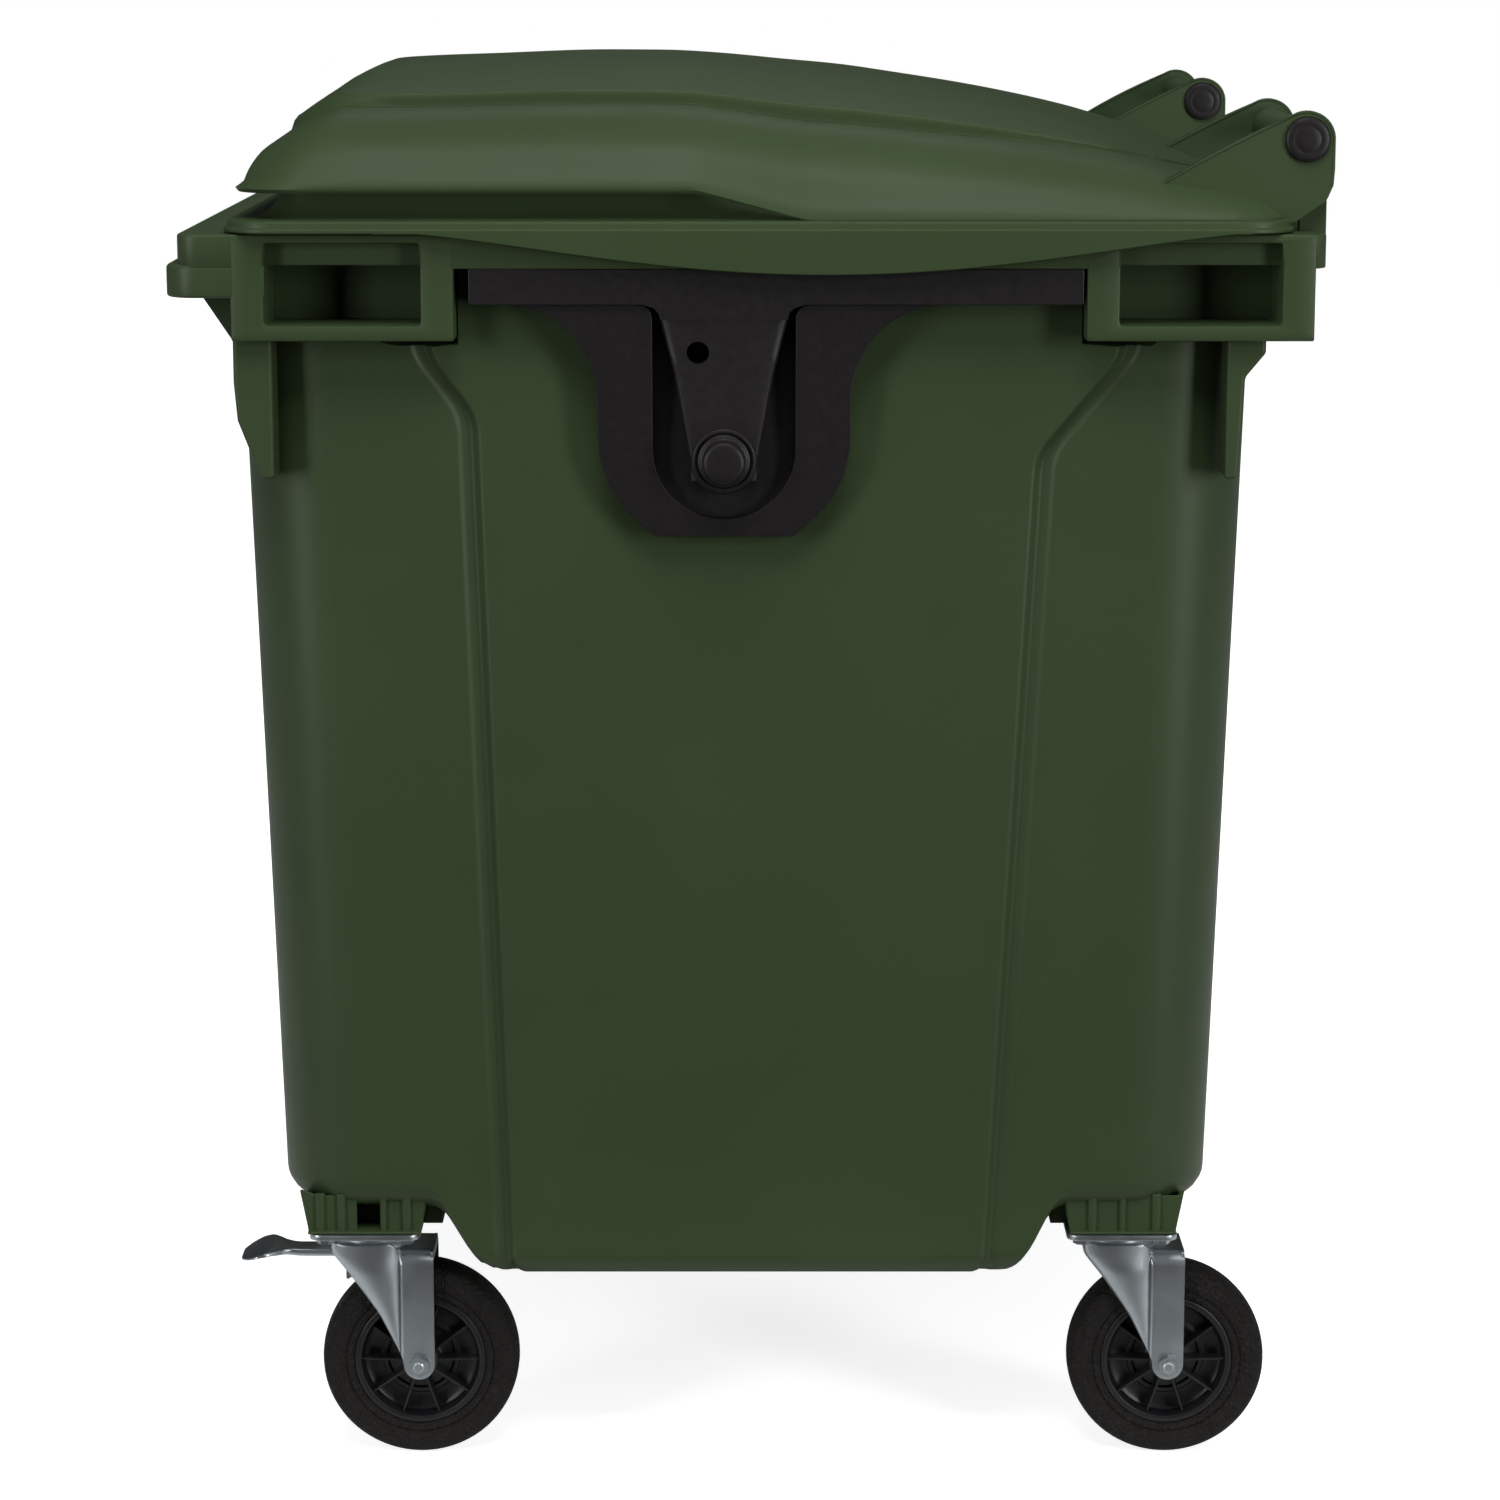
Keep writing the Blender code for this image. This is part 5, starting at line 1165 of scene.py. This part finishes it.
def fork_shapes():
    """Two legs, the bearing cup turned about the kingpin, and the crown between the legs."""
    leg = fork_leg()
    cup = [(0.0063, 0.2285), (0.0290, 0.2285), (0.0300, 0.2290), (0.0352, 0.2370),
           (0.0366, 0.2376), (0.0382, 0.2372), (0.0388, 0.2355), (0.0390, 0.2300),
           (0.0396, 0.2275), (0.0412, 0.2255), (0.0428, 0.2235), (0.0434, 0.2210),
           (0.0420, 0.2200), (0.0063, 0.2240)]
    along = np.array([-0.0355, -0.034, -0.030, 0.0, 0.022, 0.034, 0.062, 0.0655, 0.0659])
    half = np.array([0.012, 0.020, 0.026, 0.0300, 0.0300, 0.0290, 0.0290, 0.0290, 0.0285])
    top = np.interp(along, (0.0, 0.022, 0.034, 0.0655), (0.2285, 0.2278, 0.2175, 0.2170))
    rows = []
    for depth in (0.0, FORK_SHEET):
        level = top - depth
        rows.append(np.concatenate([np.column_stack([half, along, level]),
                                    np.column_stack([-half, along, level])[::-1]]))
    rear = outline([(-0.0350, 0.2060, 0.004), (0.0350, 0.2060, 0.004), (0.0320, 0.2172, 0.004),
                    (-0.0320, 0.2172, 0.004)], 3)
    plate = [np.column_stack([rear[:, 0], np.full(len(rear), y), rear[:, 1]])
             for y in (0.0630, 0.0656)]
    return [leg, moved(leg, 0, 0, 0, side=-1), upright(turned(cup, 64, closed=True)),
            skin(np.stack(rows), caps=True), skin(np.stack(plate), caps=True)]


def plate_shapes():
    """Rounded plate with the ball race pressed under it."""
    corners = outline([(-0.0675, -0.055, 0.012), (0.0675, -0.055, 0.012), (0.0675, 0.055, 0.012),
                       (-0.0675, 0.055, 0.012)], 6)
    rows = []
    for inset, height in ((0.0012, 0.2390), (0.0003, 0.2393), (0.0, 0.2402), (0.0, 0.2438),
                          (0.0003, 0.2447), (0.0012, 0.2450)):
        rows.append(lifted_ring(corners - np.sign(corners) * inset, height))
    race = [(0.0063, 0.2394), (0.0385, 0.2394), (0.0385, 0.2386), (0.0350, 0.2378),
            (0.0348, 0.2330), (0.0335, 0.2323), (0.0063, 0.2323)]
    return [skin(np.stack(rows), caps=True), upright(turned(race, 48, closed=True))]


def hexagon(radius, low, high):
    """Six-sided nut along X with its corners turned down at both ends."""
    turn = np.radians(np.arange(6) * 60 + 30)
    rows = [np.stack([np.full(6, x), size * np.cos(turn), size * np.sin(turn)], 1)
            for size, x in ((radius * 0.93, low), (radius, low + 0.0008), (radius, high - 0.0012),
                            (radius * 0.90, high))]
    return skin(np.stack(rows), caps=True)


def make_caster(sizes, name, x, y):
    """Plate and fork at the kingpin, and a tyre, hub, nut and bolt on the axle behind it."""
    zinc, slot = finish("zinc"), "zinc_steel"
    swivel, wheel = "swivel_" + name, "wheel_" + name
    side = math.copysign(1, x)
    axle = (x, y + TRAIL, AXLE_HEIGHT)
    make_piece("swivel_plate_" + name, placed(plate_shapes(), x, y, 0), zinc, "container",
               ["caster_plate_" + name], angle=40)
    make_piece("swivel_fork_" + name, placed(fork_shapes(), x, y, 0), zinc, swivel,
               ["caster_fork_" + name], angle=38)
    make_piece("solid_tyre_" + name, [moved(tyre_shape(sizes), *axle)], finish("rubber"), wheel,
               ["tyre_" + name], angle=60)
    make_piece("ribbed_hub_" + name, placed(hub_shapes(), *axle), finish("hub"), wheel,
               ["wheel_hub_" + name], bevel=0.0005, angle=40)
    washer = [(0.0062, 0.0373), (0.0120, 0.0373), (0.0122, 0.0378), (0.0120, 0.0386),
              (0.0062, 0.0386)]
    end = [(0.0, 0.0475), (0.0040, 0.0475), (0.0056, 0.0462), (0.0058, 0.0450), (0.0059, 0.0360),
           (0.0, 0.0360)]
    nut = [turned(washer, 40, closed=True), hexagon(NUT_RADIUS, 0.0386, 0.0450)]
    make_piece("lock_nut_" + name, [moved(shape, *axle, side=side) for shape in nut], zinc, swivel,
               ["axle_nut_" + name], angle=30)
    shaft = [(0.0, -0.040), (0.0058, -0.040), (0.0058, 0.040), (0.0, 0.040)]
    bolt = [moved(hexagon(NUT_RADIUS, 0.0373, 0.0440), *axle, side=-side),
            moved(turned(shaft, 24), *axle), moved(turned(end, 24), *axle, side=side)]
    make_piece("wheel_bolt_" + name, bolt, zinc, swivel, ["axle_bolt_" + name], angle=30)


def make_pedal(name, x, y):
    """Pressed channel that widens into a leaf-shaped pad, carried along Y: at each place it has
    its own half width, height and thickness. A shoe hangs from it over the tyre."""
    along = np.concatenate([np.linspace(-0.1290, -0.078, 22), np.linspace(-0.072, 0.044, 14)])
    half = soft_line(((-0.1292, 0.012), (-0.1275, 0.0200), (-0.121, 0.0290), (-0.112, 0.0345),
                      (-0.102, 0.0340), (-0.092, 0.0250), (-0.086, 0.0175), (-0.078, 0.0135),
                      (0.05, 0.0135)), 0.0020)(along)
    top = soft_line(((-0.13, 0.2050), (-0.122, 0.2085), (-0.110, 0.2135), (-0.100, 0.2160),
                     (-0.086, 0.2155), (-0.074, 0.2140), (0.05, 0.2140)), 0.004)(along)
    thick = soft_line(((-0.13, 0.0018), (-0.105, 0.0040), (-0.085, 0.0065), (-0.07, 0.0076),
                       (0.05, 0.0076)), 0.004)(along)
    across = np.array([-1, -0.97, -0.88, -0.4, 0.4, 0.88, 0.97, 1, 1, 0.95, 0.5, -0.5, -0.95, -1])
    down = np.array([0.35, 0.14, 0.02, 0, 0, 0.02, 0.14, 0.35, 0.9, 1, 1, 1, 1, 0.9])
    spread = half[:, None] * across
    level = top[:, None] - thick[:, None] * down
    rows = np.stack([spread, np.broadcast_to(along[:, None], spread.shape), level], -1)
    shoe = [(-0.024, 0.2085), (-0.024, 0.1830), (-0.0225, 0.1817), (-0.0070, 0.1905),
            (-0.006, 0.1925), (-0.006, 0.2085)]
    pin = [(0.0, -0.0325), (0.0034, -0.0325), (0.0034, 0.0325), (0.0, 0.0325)]
    shapes = [skin(rows, caps=True), slab(shoe, -0.0125, 0.0125),
              moved(turned(pin, 20), 0, 0.036, 0.2102)]
    make_piece("brake_lever_" + name, placed(shapes, x, y, 0), finish("zinc"), "pedal_" + name,
               ["brake_pedal_" + name], angle=50)


# Nodes of the model that stay in view
def dress_nodes():
    """Gives every model node that still shows its finish."""
    for name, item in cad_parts.items():
        if item.hide_render:
            continue
        kind = "black" if name.startswith(("drain", "hinge_cap", "trunnion")) else "zinc"
        if name.startswith(("container_body", "lid")):
            kind = "green"
        item.data.materials.clear()
        item.data.materials.append(finish(kind))


# Stage
LAMP_TARGET = (0.3, 0, 0.75)
# Each lamp's name, watts, width and height, place, and whether it shows as a highlight
LAMPS = (("high_light", 55, (2.6, 2.6), (2.8, 0, 5.08), True),
         ("high_soft_light", 132, (2.6, 2.6), (2.8, 0, 5.09), False),
         ("left_light", 74, (0.9, 2.6), (3.5, -3.3, 1.5), True),
         ("right_light", 100, (0.9, 2.6), (3.5, 3.3, 1.5), True),
         ("rear_light", 7, (2.5, 2.5), (-3.6, 0, 4.4), True),
         ("rear_soft_light", 62, (2.5, 2.5), (-3.6, 0, 4.41), False))
SKY = (0.9, 0.95, 1.0, 1.0)
FLOOR_HALF = 14.0
# Camera: place, degrees up from looking straight down, and millimetres of lens and sensor
CAMERA_PLACE = (4.567, 0, 1.514)
CAMERA_TILT = 78.95
CAMERA_LENS, CAMERA_SENSOR = 100, 36


def backdrop_material():
    """Pale matt floor. The camera sees it glow a little, most of all away from the middle, so
    that it is white there while the object's shadow stays."""
    item = bpy.data.materials.new("pale_studio_floor")
    item.use_nodes = True
    tree = item.node_tree
    tree.nodes.clear()
    seen = add(tree, "ShaderNodeLightPath").outputs["Is Camera Ray"]
    matt = add(tree, "ShaderNodeBsdfDiffuse", {"Color": (0.80, 0.80, 0.80, 1.0)})
    place = add(tree, "ShaderNodeTexCoord").outputs["Object"]
    away = add(tree, "ShaderNodeVectorMath", {"operation": "LENGTH"}, {0: place})
    more = add(tree, "ShaderNodeMapRange", {"From Min": 0.7, "From Max": 2.2, "To Min": 0.80,
                                            "To Max": 1.0}, {"Value": away.outputs["Value"]})
    glow = add(tree, "ShaderNodeEmission", {"Color": (1, 1, 1, 1)},
               {"Strength": more.outputs["Result"]})
    both = add(tree, "ShaderNodeAddShader", {}, {0: matt.outputs[0], 1: glow.outputs[0]})
    pick = add(tree, "ShaderNodeMixShader", {}, {0: seen, 1: matt.outputs[0],
                                                 2: both.outputs[0]})
    add(tree, "ShaderNodeOutputMaterial", {}, {"Surface": pick.outputs[0]})
    return item


def add_screen(name, corners):
    """Dark screen beside the camera. The camera doesn't see it: it only keeps glare off."""
    item = bpy.data.materials.get("dark_felt") or bpy.data.materials.new("dark_felt")
    item.use_nodes = True
    shader = item.node_tree.nodes["Principled BSDF"]
    shader.inputs["Base Color"].default_value = (0.03, 0.03, 0.03, 1.0)
    shader.inputs["Roughness"].default_value = 1.0
    mesh = bpy.data.meshes.new(name)
    mesh.from_pydata(corners, [], [(0, 1, 2, 3)])
    mesh.materials.append(item)
    screen = link_new(name, mesh)
    screen.visible_camera = False
    screen.visible_shadow = False


def add_lamp(name, power, size, place, glossy):
    """Rectangular lamp that faces the target. One that isn't glossy leaves no highlight."""
    lamp = bpy.data.lights.new(name, "AREA")
    lamp.energy = power
    lamp.shape = "RECTANGLE"
    lamp.size, lamp.size_y = size
    item = link_new(name, lamp)
    item.location = place
    toward = Vector(LAMP_TARGET) - Vector(place)
    item.rotation_euler = toward.to_track_quat("-Z", "Y").to_euler()
    item.visible_glossy = glossy


def make_floor():
    """Square floor round the container."""
    half = FLOOR_HALF
    corners = [(-half, -half, 0), (half, -half, 0), (half, half, 0), (-half, half, 0)]
    mesh = bpy.data.meshes.new("studio_floor")
    mesh.from_pydata(corners, [], [(0, 1, 2, 3)])
    mesh.materials.append(backdrop_material())
    link_new("studio_floor", mesh)


def make_air(colours):
    """Surroundings: white to the camera, an even soft light on matt surfaces, and a dusk that
    brightens towards the camera's side in reflections."""
    world = bpy.data.worlds.new("studio_air")
    bpy.context.scene.world = world
    world.use_nodes = True
    tree = world.node_tree
    tree.nodes.clear()
    path = add(tree, "ShaderNodeLightPath")
    seen = add(tree, "ShaderNodeMath", {"operation": "MAXIMUM"},
               {0: path.outputs["Is Camera Ray"], 1: path.outputs["Is Transmission Ray"]})
    air = add(tree, "ShaderNodeBackground", {"Color": SKY, "Strength": 0.22})
    toward = add(tree, "ShaderNodeTexCoord")
    apart = add(tree, "ShaderNodeSeparateXYZ", {}, {0: toward.outputs["Generated"]})
    glow = add(tree, "ShaderNodeMapRange", {"From Min": -0.5, "From Max": 0.3, "To Min": 0.025,
                                            "To Max": 0.14}, {0: apart.outputs["X"]})
    dusk = add(tree, "ShaderNodeBackground", {"Color": SKY}, {"Strength": glow.outputs[0]})
    white = add(tree, "ShaderNodeBackground", {"Color": tuple(colours.floor), "Strength": 1.0})
    room = add(tree, "ShaderNodeMixShader", {}, {0: path.outputs["Is Glossy Ray"],
                                                 1: air.outputs[0], 2: dusk.outputs[0]})
    pick = add(tree, "ShaderNodeMixShader", {}, {0: seen.outputs[0], 1: room.outputs[0],
                                                 2: white.outputs[0]})
    add(tree, "ShaderNodeOutputWorld", {}, {"Surface": pick.outputs[0]})


def make_camera():
    """Camera in front of the +X end, tilted a little down."""
    camera = bpy.data.cameras.new("photo_camera")
    camera.lens = CAMERA_LENS
    camera.sensor_width = CAMERA_SENSOR
    item = link_new("photo_camera", camera)
    item.location = CAMERA_PLACE
    item.rotation_euler = (math.radians(CAMERA_TILT), 0, math.radians(90))
    bpy.context.scene.camera = item
    bpy.context.scene.view_settings.view_transform = "Standard"


def make_stage(colours):
    """Floor, surroundings, two dark screens that keep glare off, lamps and camera."""
    make_floor()
    make_air(colours)
    add_screen("felt_wall", [(7.5, -8, -0.1), (7.5, 8, -0.1), (7.5, 8, 7), (7.5, -8, 7)])
    add_screen("felt_mat", [(0.8, -8, 0.002), (7.5, -8, 0.002), (7.5, 8, 0.002), (0.8, 8, 0.002)])
    for lamp in LAMPS:
        add_lamp(*lamp)
    make_camera()


# Operators
class MakeTub(bpy.types.Operator):
    """Tub shell with its raised end panels"""
    bl_idname = "waste_container.make_tub"
    bl_label = "Tub"

    def execute(self, context):
        make_tub_shell(context.scene.container_sizes)
        return {"FINISHED"}


class MakeRim(bpy.types.Operator):
    """Rim frame, front lip and gussets"""
    bl_idname = "waste_container.make_rim"
    bl_label = "Rim and front lip"

    def execute(self, context):
        make_rim_frame()
        make_front_lip()
        make_gussets()
        return {"FINISHED"}


class MakePockets(bpy.types.Operator):
    """Four lifting pockets with the posts under them"""
    bl_idname = "waste_container.make_pockets"
    bl_label = "Lifting pockets"

    def execute(self, context):
        for _, side in SIDES:
            make_pocket(side, True)
            make_pocket(side, False)
        return {"FINISHED"}


class MakeMounts(bpy.types.Operator):
    """Ribbed blocks that carry the casters"""
    bl_idname = "waste_container.make_mounts"
    bl_label = "Caster mounts"

    def execute(self, context):
        for name, x, y, _ in CASTERS:
            make_mount(name, x, y)
        return {"FINISHED"}


class MakeLid(bpy.types.Operator):
    """Domed lid with its grip and hanging side panels"""
    bl_idname = "waste_container.make_lid"
    bl_label = "Lid"

    def execute(self, context):
        make_lid_shell(context.scene.container_sizes)
        for tag, side in SIDES:
            make_skirt_panel(side, tag)
        return {"FINISHED"}


class MakeHinges(bpy.types.Operator):
    """Hinge barrels, lid arms and pin caps"""
    bl_idname = "waste_container.make_hinges"
    bl_label = "Hinges"

    def execute(self, context):
        make_hinges()
        return {"FINISHED"}


class MakeBrackets(bpy.types.Operator):
    """Lifting brackets and their pins"""
    bl_idname = "waste_container.make_brackets"
    bl_label = "Lifting brackets"

    def execute(self, context):
        for tag, side in SIDES:
            make_bracket(side, tag)
        return {"FINISHED"}


class MakeCasters(bpy.types.Operator):
    """Swivel casters with their wheels"""
    bl_idname = "waste_container.make_casters"
    bl_label = "Casters"

    def execute(self, context):
        for name, x, y, braked in CASTERS:
            make_caster(context.scene.container_sizes, name, x, y)
            if braked:
                make_pedal(name, x, y)
        return {"FINISHED"}


class DressNodes(bpy.types.Operator):
    """Finishes of the model's own bolts and pins"""
    bl_idname = "waste_container.dress_nodes"
    bl_label = "Bolts and pins"

    def execute(self, context):
        dress_nodes()
        return {"FINISHED"}


class MakeStage(bpy.types.Operator):
    """Pale floor, soft lights and the camera"""
    bl_idname = "waste_container.make_stage"
    bl_label = "Stage"

    def execute(self, context):
        make_stage(context.scene.container_colours)
        return {"FINISHED"}


class ContainerPanel(bpy.types.Panel):
    """Lists the container's sizes, colours and makers"""
    bl_idname = "VIEW3D_PT_waste_container"
    bl_label = "Waste container"
    bl_space_type = "VIEW_3D"
    bl_region_type = "UI"
    bl_category = "Container"

    def draw(self, context):
        for group in (context.scene.container_sizes, context.scene.container_colours):
            for name in group.__annotations__:
                self.layout.prop(group, name)
        for maker in MAKERS:
            self.layout.operator(maker.bl_idname)


MAKERS = (MakeTub, MakeRim, MakePockets, MakeMounts, MakeLid, MakeHinges, MakeBrackets,
          MakeCasters, DressNodes, MakeStage)
CLASSES = (ContainerSizes, ContainerColours, *MAKERS, ContainerPanel)


def register():
    """Registers the classes and gives the scene its sizes and colours."""
    for item in CLASSES:
        bpy.utils.register_class(item)
    bpy.types.Scene.container_sizes = bpy.props.PointerProperty(type=ContainerSizes)
    bpy.types.Scene.container_colours = bpy.props.PointerProperty(type=ContainerColours)


def unregister():
    """Takes back what register did."""
    del bpy.types.Scene.container_colours
    del bpy.types.Scene.container_sizes
    for item in reversed(CLASSES):
        bpy.utils.unregister_class(item)


def main():
    """Makes every part in turn."""
    register()
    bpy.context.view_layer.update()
    for maker in MAKERS:
        group, name = maker.bl_idname.split(".")
        getattr(getattr(bpy.ops, group), name)()


if __name__ == "__main__":
    main()
